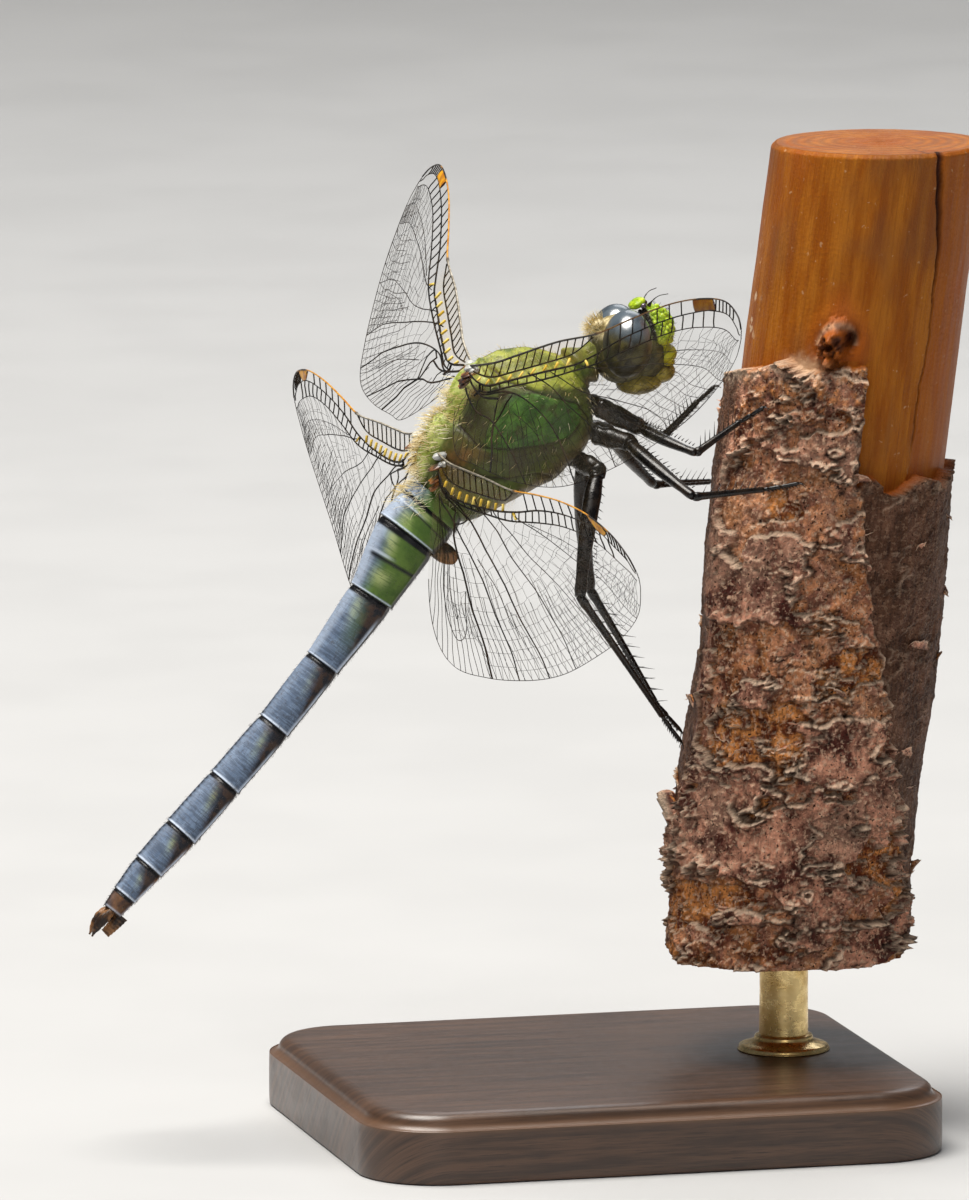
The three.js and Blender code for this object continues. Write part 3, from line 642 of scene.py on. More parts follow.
def finish_branch():
    """Papery purple-brown bark over rust, and bare orange-tan wood where its barked value is 0."""
    f = Finish("flaking bark and bare wood", IOR=1.46, Specular_IOR_Level=0.16)
    # Purple and rust patches stretched from near-black to pale: partly the bark's own mottling, partly
    # painted highlights and painted shadows.
    purple = f.patches((0.100, 0.024, 0.017), (0.92, 0.44, 0.285), 620, 0.40, 0.60, 6.0)
    tan_sheets = f.times(f.mottle(190, 0.5, 0.58, 3.0), 0.45)
    purple = f.layer(tan_sheets, purple, (0.72, 0.42, 0.29))
    # Broad darker zones: painted shadow.
    deep = f.times(f.mottle(310, 0.57, 0.64, 3.0), 0.6)
    purple = f.layer(deep, purple, (0.080, 0.030, 0.026))
    rust = f.patches((0.17, 0.036, 0.010), (0.96, 0.38, 0.110), 1100, 0.4, 0.62, 4.0)
    brown = f.layer(f.drawn(0.5, 5.0, 0.35, 0.65), (0.040, 0.018, 0.010), (0.100, 0.048, 0.026))
    bark = f.marked(purple, raw=rust, calm=brown)
    lively = f.minus(1.0, f.times(f.mask("calm"), 0.92))
    fibres = f.times(f.drawn(1.6, 8.0, 0.5, 0.68), lively)
    bark = f.layer(f.times(fibres, 0.35), bark, (0.42, 0.24, 0.16))
    # Fine pale flecks: painted highlight, standing for glints of light on the bark.
    painted_sparkle = f.times(f.mottle(4200, 0.53, 0.62, 4.0), lively)
    bark = f.layer(f.times(painted_sparkle, 0.65), bark, (0.98, 0.64, 0.43))
    bark = f.layer(f.mottle(5200, 0.60, 0.66, 3.0), bark, (0.045, 0.022, 0.014))
    # The pale lip colour is partly the curled lips' own cream, partly painted light on up-facing slopes;
    # the near-black is painted shade in gaps, on down-facing slopes, in low spots and under peels.
    bark = f.marked(bark, lip=(0.98, 0.74, 0.54), crevice=(0.022, 0.010, 0.007))

    wood = f.layer(f.drawn(0.16, 1.1, 0.35, 0.65), (0.31, 0.078, 0.003), (0.45, 0.150, 0.012))
    wood = f.layer(f.times(f.drawn(0.35, 9.0, 0.5, 0.7), 0.5), wood, (0.24, 0.062, 0.004))
    # The darker stain is the wood's own stains and growth rings, and painted shade above the stub.
    wood = f.marked(wood, stain=(0.20, 0.070, 0.022), warm=(0.40, 0.095, 0.010))
    flecks = f.times(f.mottle(2600, 0.67, 0.72), 0.5)
    wood = f.layer(flecks, wood, (0.62, 0.40, 0.22))
    # The near-black on the wood is painted shade: in the crack, the hollow by the stub and the stub's low
    # spots.
    wood = f.marked(wood, bleached=(0.68, 0.47, 0.30), wood_crevice=(0.045, 0.010, 0.004))

    barked = f.mask("barked")
    colour = f.layer(barked, wood, bark)
    crumple = f.times(f.mottle(1300, 0.3, 0.7, 6.0), lively)
    rough_bark = f.plus(f.plus(f.pores(6500, 0.8), fibres), f.times(crumple, 2.0))
    grained_wood = f.plus(f.drawn(0.5, 12.0, 0.3, 0.7), f.pores(5000, 0.6))
    smooth_wood = f.times(grained_wood, 0.22)
    relief = f.add("ShaderNodeMix", {0: barked, 2: smooth_wood, 3: rough_bark}, data_type="FLOAT")
    return f.end(colour, f.between(barked, 0.40, 0.52), relief.outputs[0], 0.8, 0.14)


def finish_stand_wood():
    f = Finish("oiled stand wood", IOR=1.5, Coat_Weight=0.3, Coat_Roughness=0.25)
    dark = f.layer(f.drawn(0.12, 2.2, 0.35, 0.65), (0.045, 0.022, 0.012), (0.11, 0.055, 0.030))
    colour = f.layer(f.drawn(0.5, 14.0, 0.52, 0.70), dark, (0.028, 0.013, 0.008))
    colour = f.marked(colour, edge=(0.17, 0.09, 0.05))
    return f.end(colour, f.uneven(900, 0.36, 0.42), f.drawn(0.6, 18.0, 0.3, 0.7), 0.12, 0.03)


def finish_brass():
    f = Finish("brushed brass", Metallic=1.0)
    colour = f.patches((0.62, 0.42, 0.16), (0.80, 0.60, 0.28), 600)
    colour = f.layer(f.times(f.mottle(2600, 0.6, 0.7), 0.35), colour, (0.30, 0.18, 0.07))
    return f.end(colour, f.uneven(2000, 0.22, 0.4), f.drawn(20.0, 1.5), 0.15, 0.02)


def finish_backdrop():
    f = Finish("pale backdrop", Specular_IOR_Level=0.2)
    colour = f.patches((0.52, 0.525, 0.53), (0.54, 0.545, 0.55), 30, 0.3, 0.7)
    return f.end(colour, f.uneven(60, 0.7, 0.85))


# ---------- head ----------
def to_line(points, line):
    """Distance of 2-D points from a polyline."""
    points, line = np.asarray(points, float), np.asarray(line, float)
    best = np.full(points.shape[:-1], 1e9)
    for a, b in zip(line[:-1], line[1:]):
        step = b - a
        t = np.clip(((points - a) @ step) / (step @ step), 0, 1)
        best = np.minimum(best, np.linalg.norm(points - a - t[..., None] * step, axis=-1))
    return best


def make_head_piece(name, shape, look, replaced=(), masks=None):
    """A piece whose shape is given in the head's own frame."""
    points, quads, tris = shape
    make_piece(name, (from_head(points), quads, tris), look, replaced, masks)


def eye_shape(side):
    half = (EYE["length"] / 2, EYE["breadth"] / 2, EYE["height"] / 2)
    points, quads, tris = egg_shape((0, 0, 0), half, 72, 96)
    lean, tip = math.radians(EYE["lean"]) * side, math.radians(EYE["tip"])
    x, y, z = points.T
    y, z = y * math.cos(lean) - z * math.sin(lean), y * math.sin(lean) + z * math.cos(lean)
    x, z = x * math.cos(tip) + z * math.sin(tip), z * math.cos(tip) - x * math.sin(tip)
    x, y, z = x + EYE["forward"], y + side * EYE["side"], z + EYE["up"]
    y = side * np.maximum(side * y, 0.03)
    return np.stack([x, y, z], 1), quads, tris


# Dark spots seen in the right eye: x, y, z and how wide.
EYE_SPOTS = ((0.55, 2.25, -0.35, 0.2), (0.75, 2.0, -0.8, 0.16), (0.3, 2.35, -0.85, 0.15),
             (0.85, 2.0, 0.0, 0.12))


def make_eye(name, side):
    points, quads, tris = eye_shape(side)
    x, y, z = points.T
    # Above this ramp the eye is blue-grey; below it, its colour is partly painted shade.
    above = ramp(z + 0.3 * x, 0.1, 1.15)
    spots = np.zeros(len(points))
    for sx, sy, sz, wide in EYE_SPOTS:
        away = np.linalg.norm(points - np.array([sx, side * sy, sz]), axis=1)
        spots = np.maximum(spots, 0.7 * bump_at(away, 0, wide))
    rim = np.maximum(1 - ramp(side * y, 0.05, 0.16), 1 - ramp(x, -1.38, -1.22))
    make_head_piece(name, (points, quads, tris), "eye", ["eye_left" if side > 0 else "eye_right"],
                    {"above": above, "spots": spots, "rim": rim})


def plate_shape(centre, radii, furrow=0.0, pits=0.0, rows=56, around=80, seed=3, squeeze=0.0,
                grain_size=6.5):
    """A plate of the face with a middle furrow and scattered pits: its shape, and the pit depth."""
    radii = np.array(radii)

    def move(ball):
        flat = ball.reshape(-1, 3)
        _, border = plates(flat * radii * grain_size, seed)
        grain = layered_noise(flat * radii * 3.0, 3, seed)
        depth = -furrow * bump_at(flat[:, 1], 0, 0.16) * ramp(flat[:, 0], 0.0, 0.5)
        depth = depth + pits * ((0.5 - bump_at(border, 0, 0.25)) * 0.6 + 0.5 * grain)
        return depth.reshape(ball.shape[:2])
    points, quads, tris = egg_shape(centre, radii, rows, around, move)
    points[:, 1] *= 1 - squeeze * (points[:, 2] - centre[2]) / radii[2]
    unit_points = (points - np.array(centre)) / radii
    _, border = plates(unit_points * radii * grain_size, seed)
    return (points, quads, tris), bump_at(border, 0, 0.16)


def make_head():
    make_eye("eye_left_facets", 1)
    make_eye("eye_right_facets", -1)
    capsule, _ = plate_shape((-0.35, 0, -0.2), (1.55, 2.06, 1.73), 0, 0.03, 60, 80, 5)
    capsule[0][:, 0] = np.maximum(capsule[0][:, 0], -1.75 + 0.12 * np.abs(capsule[0][:, 1]))
    cheeks, _ = plate_shape((0.85, 0, -0.65), (1.05, 1.55, 1.3), 0, 0.03, 44, 64, 8)
    crown, _ = plate_shape((-1.22, 0, 1.02), (0.55, 0.5, 0.42), 0.1, 0.05, 30, 40, 9)
    shape = joined([capsule, cheeks, crown])
    x, y, z = shape[0].T
    crown_mask = ramp(z, 0.45, 0.85) * (1 - ramp(x, -0.6, -0.2))
    make_head_piece("head_capsule_skin", shape, "head", ["head"], {"crown": crown_mask})

    frons, pits = plate_shape((1.55, 0, 0.62), (0.96, 1.31, 1.2), 0.10, 0.15, 100, 140, 11, 0.08, 3.4)
    x, y, z = frons[0].T
    dark = (1 - ramp(x + 0.12 * z, 1.30, 1.42)) * ramp(z, -0.2, 0.2)
    low = 0.8 * (1 - ramp(z, -0.35, 0.45))
    # Its pits mask marks the grooves between bumps, where the face finish paints shade.
    make_head_piece("frons_skin", frons, "face", ["frons"],
                    {"pits": pits * 0.55 * ramp(z, -0.4, 0.6), "dark": dark, "low": low})

    middle = (0.76, 0, 1.96)
    vertex, pits = plate_shape(middle, (0.46, 0.58, 0.25), 0.18, 0.08, 44, 56, 12, 0.0, 4.5)
    turn = math.radians(24)
    x, z = vertex[0][:, 0] - middle[0], vertex[0][:, 2] - middle[2]
    vertex[0][:, 0] = middle[0] + x * math.cos(turn) - z * math.sin(turn)
    vertex[0][:, 2] = middle[2] + x * math.sin(turn) + z * math.cos(turn)
    x, y, z = vertex[0].T
    make_head_piece("vertex_skin", vertex, "face", ["vertex"],
                    {"pits": pits * 0.3, "dark": 1 - ramp(z, 1.66, 1.8), "low": np.zeros(len(x))})

    clypeus, pits = plate_shape((1.81, 0, -0.72), (0.69, 1.16, 0.56), 0.05, 0.04, 48, 72, 13)
    lower, _ = plate_shape((1.78, 0, -1.18), (0.6, 0.85, 0.3), 0.0, 0.03, 30, 48, 14)
    shape = joined([clypeus, lower])
    z = shape[0][:, 2]
    make_head_piece("clypeus_skin", shape, "face", ["clypeus"],
                    {"low": 0.75 + 0.25 * (1 - ramp(z, -1.1, -0.7)), "dark": np.zeros(len(z)),
                     "pits": np.concatenate([pits * 0.35, np.zeros(len(lower[0]))])})

    labrum, _ = plate_shape((1.6, 0, -1.6), (0.72, 1.12, 0.58), 0.06, 0.03, 40, 64, 15)
    x, y, z = labrum[0].T
    lines = np.maximum(bump_at(y, 0, 0.05), bump_at(z, -1.22, 0.10))
    lip_dark = np.maximum(1 - ramp(z, -2.12, -1.98), 0.7 * lines)
    make_head_piece("labrum_skin", labrum, "lip", ["labrum"], {"dark": lip_dark})

    labium, _ = plate_shape((0.45, 0, -2.0), (1.15, 1.33, 0.6), 0.0, 0.03, 44, 72, 16)
    points = labium[0]
    seam = bump_at(points[:, 1], 0, 0.07) + bump_at(np.abs(points[:, 1]), 0.62, 0.06)
    points[:, 2] += 0.09 * seam * (points[:, 2] < -2.0)
    make_head_piece("labium_skin", labium, "lip", ["labium"],
                    {"dark": np.clip(seam, 0, 1) * 0.8})

    for name, side in (("left", 1), ("right", -1)):
        bends = ((1.2, .6 * side, 1.85), (1.4, .76 * side, 2.12), (1.7, .92 * side, 2.33),
                 (2.13, 1.13 * side, 2.4))
        line = smooth_line(bends, 26)
        t = np.linspace(0, 1, 26)
        radii = 0.020 + 0.09 * bump_at(t, 0, 0.2) + 0.010 * bump_at(t, 0.42, 0.05)
        make_piece(f"antenna_{name}_bristle", swept(from_head(line), radii, 12), "black",
                   [f"antenna_{name}"])

    beads = (((1.13, 0, 1.93), 0.17), ((0.95, 0.55, 1.86), 0.15), ((0.95, -0.55, 1.86), 0.15))
    ocelli = [egg_shape(middle, (r, r, r), 16, 20) for middle, r in beads]
    make_head_piece("ocelli_beads", joined(ocelli), "bead")


# ---------- thorax ----------
# Seams and the green side panel, as places forward and up.
SUTURES = (
    ((6.7, 3.2), (6.75, 2.4), (7.45, 1.13), (8.7, -0.8), (8.7, -1.9), (8.3, -2.6)),
    ((3.55, 2.4), (3.5, 1.0), (4.7, -0.2), (6.05, -1.2), (7.2, -1.85), (8.2, -1.75)),
    ((1.75, 1.7), (2.3, 0.2), (3.6, -1.3), (4.9, -2.2), (5.6, -3.0)),
    ((3.55, 0.9), (6.3, 1.85), (7.45, 1.13)),
)
PANEL = (
    (3.57, .9), (4.9, 1.55), (6.39, 1.88), (7.45, 1.13), (8.25, .1), (8.71, -.81), (8.6, -1.3),
    (8.2, -1.62),
    (7.2, -1.75), (6.05, -1.19), (4.8, -.3), (3.75, .47),
)


def inside_outline(points, outline):
    """1 inside a closed 2-D outline, 0 outside."""
    x, y = points[..., 0], points[..., 1]
    odd = np.zeros(x.shape, bool)
    for (x1, y1), (x2, y2) in zip(outline, outline[1:] + outline[:1]):
        crosses = (y1 > y) != (y2 > y)
        odd ^= crosses & (x < (x2 - x1) * (y - y1) / ((y2 - y1) or 1e-9) + x1)
    return odd.astype(float)


def thorax_sizes(forward):
    stations = np.array(THORAX_STATIONS)
    fine = np.linspace(stations[0, 0], stations[-1, 0], 400)
    sizes = []
    for column in (1, 2, 3):
        value = np.interp(fine, stations[:, 0], stations[:, column])
        padded = np.concatenate([np.full(12, value[0]), value, np.full(12, value[-1])])
        value = np.convolve(padded, np.hanning(25) / np.hanning(25).sum(), "valid")
        sizes.append(np.interp(forward, fine, value))
    return sizes


def thorax_rings(rows=190, around=220):
    """Points of the thorax skin in its own frame, with the masks of its markings."""
    forward = np.linspace(0.35, 9.75, rows)[:, None]
    angle = circle(around)[None, :]
    crown, belly, half = (value[:, None] for value in thorax_sizes(forward[:, 0]))
    lift = np.cos(angle)
    y = np.sin(angle) * half * (1 - THORAX_TOP_NARROWING * np.maximum(0, lift) ** 2)
    z = (crown + belly) / 2 + lift * (crown - belly) / 2
    f = forward + np.zeros_like(y)
    side = ramp(np.abs(y), 0.5, 1.1)
    where = np.stack([f, z], -1)
    near = np.stack([to_line(where, line) for line in SUTURES])
    groove = np.exp(-(near[:3].min(0) / 0.10) ** 2) * side
    line = np.exp(-(near / np.array([0.055, 0.055, 0.055, 0.032])[:, None, None]) ** 2).max(0) * side
    keel = ramp(f, 6.7, 7.0) * (lift > 0)
    collar = np.exp(-((f - 6.65 + 0.25 * np.abs(y)) / 0.16) ** 2) * (z > 2.0)
    swell = -0.10 * groove + 0.10 * bump_at(y, 0, 0.13) * keel + 0.13 * collar
    top = ramp(lift, 0.55, 0.8) * (1 - ramp(f, 6.2, 6.6))
    swell += top * (0.22 * bump_at(f, 5.2, 0.75) * bump_at(y, 0, 0.75)
                    + 0.16 * bump_at(f, 2.5, 0.5) * bump_at(y, 0, 0.7)
                    - 0.30 * bump_at(f, 3.75, 0.45) - 0.12 * bump_at(np.abs(y), 0.95, 0.25))
    hip = 0.16 * bump_at(f, 7.6, 0.8) * bump_at(z, -2.5, 0.7)
    swell += hip + 0.18 * bump_at(f, 5.6, 0.8) * bump_at(z, -2.9, 0.6)
    local = np.stack([f, y, z], -1).reshape(-1, 3)
    swell = swell.reshape(-1) + 0.035 * layered_noise(local * 1.3, 3, 21)
    swell = swell + 0.012 * layered_noise(local * 7.0, 2, 25)
    outward = unit(np.stack([np.zeros_like(y), y, z - (crown + belly) / 2], -1).reshape(-1, 3))
    local = local + outward * swell[:, None]
    inside = inside_outline(where, PANEL)
    border = to_line(where, PANEL + PANEL[:1])
    folds = (0.85 * bump_at(f, 3.9, 0.9) * bump_at(z, 2.15, 0.38) * (0.75 + 0.25 * np.sin(f * 23 + z * 9))
             + 0.8 * bump_at(f, 1.5, 0.5) * bump_at(z, 0.9, 0.4))
    collar_edge = bump_at(collar, 0.5, 0.2) * (collar > 0.3)
    fore_joint = 0.8 * bump_at(f, 5.2, 0.45) * ramp(z, 2.5, 2.9)
    hind_joint = 0.8 * bump_at(f, 2.7, 0.9) * bump_at(z, 1.2, 0.95) * (1 - ramp(lift, 0.68, 0.78))
    masks = {
        "seam": np.clip(line + 0.9 * bump_at(y, 0, 0.05) * keel + 0.5 * collar_edge + side * folds, 0, 1),
        "panel": np.clip(0.5 + (inside * 2 - 1) * border / 0.16, 0, 1) * side,
        "shoulder": ramp(z - (2.2 - 0.9 * (f - 6.3)), 0.0, 0.35) * ramp(f, 4.8, 6.0) * 0.85,
        "back": ramp(lift, 0.72, 0.88) * (1 - ramp(f, 6.3, 6.6)),
        "under": 1 - ramp(z, -2.7, -1.9),
        "tawny": side * np.maximum(fore_joint, hind_joint),
    }
    return local.reshape(rows, around, 3), {key: value.reshape(-1) for key, value in masks.items()}


def end_masks(masks, rings):
    """The masks with a value for each end's middle point."""
    around = rings.shape[1]
    return {key: np.concatenate([value, [value[:around].mean(), value[-around:].mean()]])
            for key, value in masks.items()}


def make_thorax():
    rings, masks = thorax_rings()
    points, quads, tris = ring_stack(rings)
    make_piece("thorax_skin", (from_thorax(points), quads, tris), "thorax", ["thorax"],
               end_masks(masks, rings))
    t = np.linspace(0, 1, 60)
    path = np.stack([9.35 + 2.1 * t, np.zeros(60), -0.05 + 0.2 * t], 1)
    radii = np.interp(t, (0, 0.1, 0.2, 0.3, 0.42, 0.5, 0.62, 0.72, 0.82, 1),
                      (0.75, 1.0, 1.18, 0.98, 1.22, 1.16, 0.92, 0.62, 0.5, 0.5))
    radii = np.convolve(np.pad(radii, 2, "edge"), np.ones(5) / 5, "valid")
    points, quads, tris = swept(path, radii, 48, lump=lambda share, angle: (
        0.05 * np.sin(3 * angle + 9 * share) * np.sin(share * 3.1)))
    grain = layered_noise(points * 2.0, 3, 31)
    masks = {"shoulder": 0.5 + 0.5 * grain, "under": ramp(-points[:, 2], 0.1, 0.6),
             "seam": ramp(grain, 0.5, 0.7) * 0.6}
    make_piece("prothorax_collar", (from_thorax(points), quads, tris), "thorax",
               ["prothorax"], masks)
    return rings


# ---------- abdomen ----------
WAIST_PITCH = 46.0
# One value for each segment, from the waist back.
SEGMENT_GREEN = (1.0, 1.0, 1.0, 0.7, 0, 0, 0, 0, 0, 0)
PATCH_STRENGTH = (0.3, 0.9, 0.9, 0.6, 0.3, 0.5, 0.75, 0.75, 0.5, 0.3)
PATCH_PLACE = (0.5, 0.75, 0.22, 0.2, 0.25, 0.28, 0.28, 0.3, 0.4, 0.5)
TAWNY_BELLY = (0, 0, 0, 0, 0, 0, 0, 0.5, 0.9, 1.0)
PALE_BACK = (0.3, 0.45, 0.45, 0.3, 0.12, 0.12, 0.12, 0.12, 0.1, 0.1)
BLACK_RING = (0.11, 0.24, 0.42, 0.34, 0.26, 0.24, 0.24, 0.22, 0.2, 0.15)
# How high the green reaches on the first four segments.
GREEN_EDGE = ((0.5, 0.98), (0.5, 0.98), (0.40, 0.95), (0.1, 0.75))
# The second and third segments have a cross ridge with a black band and a pale line.
CROSS_RIDGE = {
    1: dict(place=0.42, patch=0.25, black=0.045, black_top=(0.55, 0.8), pale=-0.13),
    2: dict(place=0.46, patch=0.7, black=0.10, black_top=(0.85, 0.97), pale=-0.19),
}


def abdomen_nodes():
    nodes = [np.array(WAIST)]
    for length, pitch, _, _ in ABDOMEN:
        nodes.append(nodes[-1] - pitched(pitch) * length)
    return nodes


def segment_rows(length):
    """Places along a segment, close together near its two ends, in millimetres."""
    front = np.array([0.0, 0.03, 0.06, 0.09, 0.12, 0.16, 0.2, 0.25, 0.31, 0.38])
    rear = length - np.array([0.42, 0.35, 0.29, 0.24, 0.2, 0.165, 0.135, 0.11, 0.085, 0.06, 0.04, 0.02])
    front, rear = front[front < length * 0.45], rear[rear > length * 0.5]
    middle = np.linspace(front[-1], rear[0], max(3, int((rear[0] - front[-1]) / 0.075)))[1:-1]
    return np.concatenate([front, middle, rear])


def edge_height(t):
    """Where the side edge of a segment's back plate runs, as a share of its height."""
    return -0.54 - 0.04 * math.sin(t * math.pi)


def segment_ring(i, d, front, lift, across):
    """The ring of points d millimetres behind the front of a segment."""
    length, pitch, rear_depth, rear_width = ABDOMEN[i]
    front_depth, front_width = ABDOMEN[i - 1][2:] if i else ABDOMEN_FRONT
    before = ABDOMEN[i - 1][1] if i else WAIST_PITCH
    after = ABDOMEN[i + 1][1] if i + 1 < len(ABDOMEN) else pitch
    t = d / length
    tilt = pitch + (before - pitch) / 2 * (1 - min(1, t * 2)) + (after - pitch) / 2 * max(0, t * 2 - 1)
    depth = front_depth + (rear_depth - front_depth) * t
    width = front_width + (rear_width - front_width) * t
    neck = 0.045 * (1 - ramp(d, 0.0, 0.55)) if i else 0.0
    flare = 0.022 * ramp(d, length - 0.35, length - 0.08) - 0.05 * ramp(d, length - 0.05, length)
    belly = 0.012 * math.sin(t * math.pi)
    scale = 1 - neck - 0.035 * (1 - ramp(d, 0.0, 0.1)) * (i > 0) + flare + belly
    edge_ridge = 0.055 * bump_at(lift, edge_height(t), 0.06)
    tuck = -0.05 * ramp(-lift, 0.64, 0.8) + 0.03 * bump_at(lift, -1, 0.04)
    keel = (0.035 + 0.012 * np.sin(d * 42)) * bump_at(across, 0, 0.05) * (lift > 0) * (i > 1)
    cross = 0.018 * bump_at((t - CROSS_RIDGE[i]["place"]) * length, 0, 0.05) if i in CROSS_RIDGE else 0.0
    size = scale + (edge_ridge + tuck + keel + cross) * 2 / depth
    side = across * (1 - 0.16 * lift) * width / 2 * size
    rise = lift * np.where(lift < 0, 0.92, 1.0) * depth / 2 * size
    centre = front - pitched(pitch) * d
    return centre + side[:, None] * np.array([0, 1, 0]) + rise[:, None] * pitched(tilt + 90)


def segment_marks(i, d, lift, across):
    """The masks of the markings on the ring d millimetres behind the front of a segment."""
    length = ABDOMEN[i][0]
    t, left = d / length, length - d
    ridge = CROSS_RIDGE.get(i)
    away = (t - ridge["place"]) * length if ridge else None

    green = SEGMENT_GREEN[i] * (1 - ramp(lift + 0.10 * math.sin(t * 3.1), *GREEN_EDGE[min(i, 3)]))
    if i == 3:
        green = green * (1 - ramp(t, 0.25, 0.9))

    place = PATCH_PLACE[i]
    patch = (0.85 * PATCH_STRENGTH[i] * bump_at(t, place, 0.20)
             * bump_at(lift + 0.5 * (t - place), 0.55 if i < 4 else 0.30, 0.17))
    if ridge:
        patch = np.maximum(patch, 0.8 * bump_at(t, ridge["patch"], 0.12) * bump_at(lift, 0.35, 0.3))

    # The front-lower part of each segment is darkened: partly real dark markings, partly painted shade on
    # the lower flank; the tenth segment's dark brown is its own colour.
    if i > 2:
        corner = ramp(0.80 + 0.08 * (i > 5) - t - (lift + 0.35) * 0.55, -0.1, 0.5)
    else:
        corner = 0.5 * ramp(-lift, 0.1, 0.7)
    low_front = 0.55 * ramp(-lift, 0.0, 0.6) * (i > 2) * (1 - ramp(t, 0.45, 0.9))
    dark_marks_and_shade = np.clip(corner + low_front + 0.12 * (i == 8) + 0.95 * (i == 9), 0, 1)

    tawny = np.maximum(TAWNY_BELLY[i] * ramp(-lift, 0.35, 0.62), 0.3 * (i == 9))

    rim_strength = (1.0 if i > 3 else 0.8) if i else 0.0
    pale = bump_at(left, 0.10, 0.055 if i > 3 else 0.042) * rim_strength * ramp(lift, -0.72, -0.62)
    # The pale line along the side ridge of the later segments is partly a pale edge, partly a painted
    # highlight where the raised flange catches light from above.
    pale = np.maximum(pale, bump_at(lift, edge_height(t), 0.07) * ramp(t, 0.12, 0.4) * (i > 2))
    pale = np.maximum(pale, PALE_BACK[i] * ramp(lift, 0.7, 0.95)) * (1 - 0.6 * (i == 9))

    wide = BLACK_RING[i]
    black = max(1 - ramp(d, wide * 0.7, wide), ramp(-left, -0.055, -0.03)) if i else 0.0
    black = np.maximum(black * ramp(lift, -1.1, -0.2 if i > 2 else -1.0), 0.0)
    if ridge:
        band = math.exp(-(away / ridge["black"]) ** 4)
        black = np.maximum(black, band * (1 - ramp(lift, *ridge["black_top"])))
        pale = np.maximum(pale, 0.8 * bump_at(away, ridge["pale"], 0.06) * ramp(lift, 0.1, 0.6))
    if i > 3:
        breadth = 0.16 + 0.08 * ramp(i + t, 5, 8)
        dotted = bump_at(across, 0, breadth) * (lift > 0) * (0.75 + 0.25 * math.sin(d * 21 + i))
        black = np.maximum(black, dotted * ramp(i + t, 4, 5))
    return dict(green=green, patch=patch, dark_marks_and_shade=dark_marks_and_shade, belly=ramp(-lift, 0.66, 0.72), tawny=tawny, rim=pale,
                ring=black)


def abdomen_rings(around=144):
    """Rings of the abdomen skin, with the masks of its markings."""
    nodes = abdomen_nodes()
    angle = circle(around)
    lift, across = np.cos(angle), np.sin(angle)
    rings, marks = [], []
    run = 0.0
    for i, (length, _, _, _) in enumerate(ABDOMEN):
        for d in segment_rows(length):
            rings.append(segment_ring(i, d, nodes[i], lift, across))
            marks.append(segment_marks(i, d, lift, across))
            marks[-1].update(along=run + d, around=angle / (2 * math.pi) * 6)
        run += length
    masks = {key: np.concatenate([np.zeros(around) + mark[key] for mark in marks]) for key in marks[0]}
    return np.array(rings), masks


def make_abdomen():
    rings, masks = abdomen_rings()
    segments = [f"abdomen_segment_{i + 1}" for i in range(len(ABDOMEN))]
    make_piece("abdomen_skin", ring_stack(rings), "abdomen", segments,
               end_masks(masks, rings))
    return rings


def make_tail():
    end = abdomen_nodes()[-1]
    back, up = pitched(ABDOMEN[-1][1] + 180), pitched(ABDOMEN[-1][1] + 90)
    t = np.linspace(0, 1, 40)
    for name, side in (("left", 1), ("right", -1)):
        line = [end + back * (1.72 * s - 0.12) + up * (0.1 + 0.13 * math.sin(s * math.pi))
                + np.array([0, side * 0.42 * (1 - 0.3 * s), 0]) for s in t]
        radii = 0.14 + 0.13 * np.sin(np.clip(t * 1.15, 0, 1) ** 0.8 * math.pi) ** 1.3
        radii = radii - 0.10 * ramp(t, 0.75, 1.0)
        shape = swept(line, np.maximum(radii, 0.05), 24,
                      lump=lambda s, a: 0.02 * np.sin(a * 5 + s * 30) * np.sin(s * 3.1))
        make_piece(f"cercus_{name}_skin", shape, "tail", [f"cercus_{name}"])
    line = [end + back * (1.2 * s - 0.12) + up * (-0.52 + 0.1 * s * s) for s in t]
    shape = swept(line, 0.34 - 0.12 * t, 28, lump=lambda s, a: 0.03 * np.cos(a * 2) + 0.01 * np.sin(s * 40))
    make_piece("epiproct_skin", shape, "tail", ["epiproct"])
    node, pitch = abdomen_nodes()[2], ABDOMEN[1][1]
    line = [node + pitched(pitch) * (0.55 + 0.28 * s) + pitched(pitch + 90) * (-1.45 - 1.25 * s) for s in t]
    radii = 0.5 * np.sqrt(np.clip(1 - (t - 0.3) ** 2 / 0.62, 0.02, 1))
    shape = swept(line, radii, 28, lump=lambda s, a: 0.05 * np.sin(a * 3) * np.sin(s * 3.1))
    make_piece("hamule_skin", shape, "tail", ["hamule"])


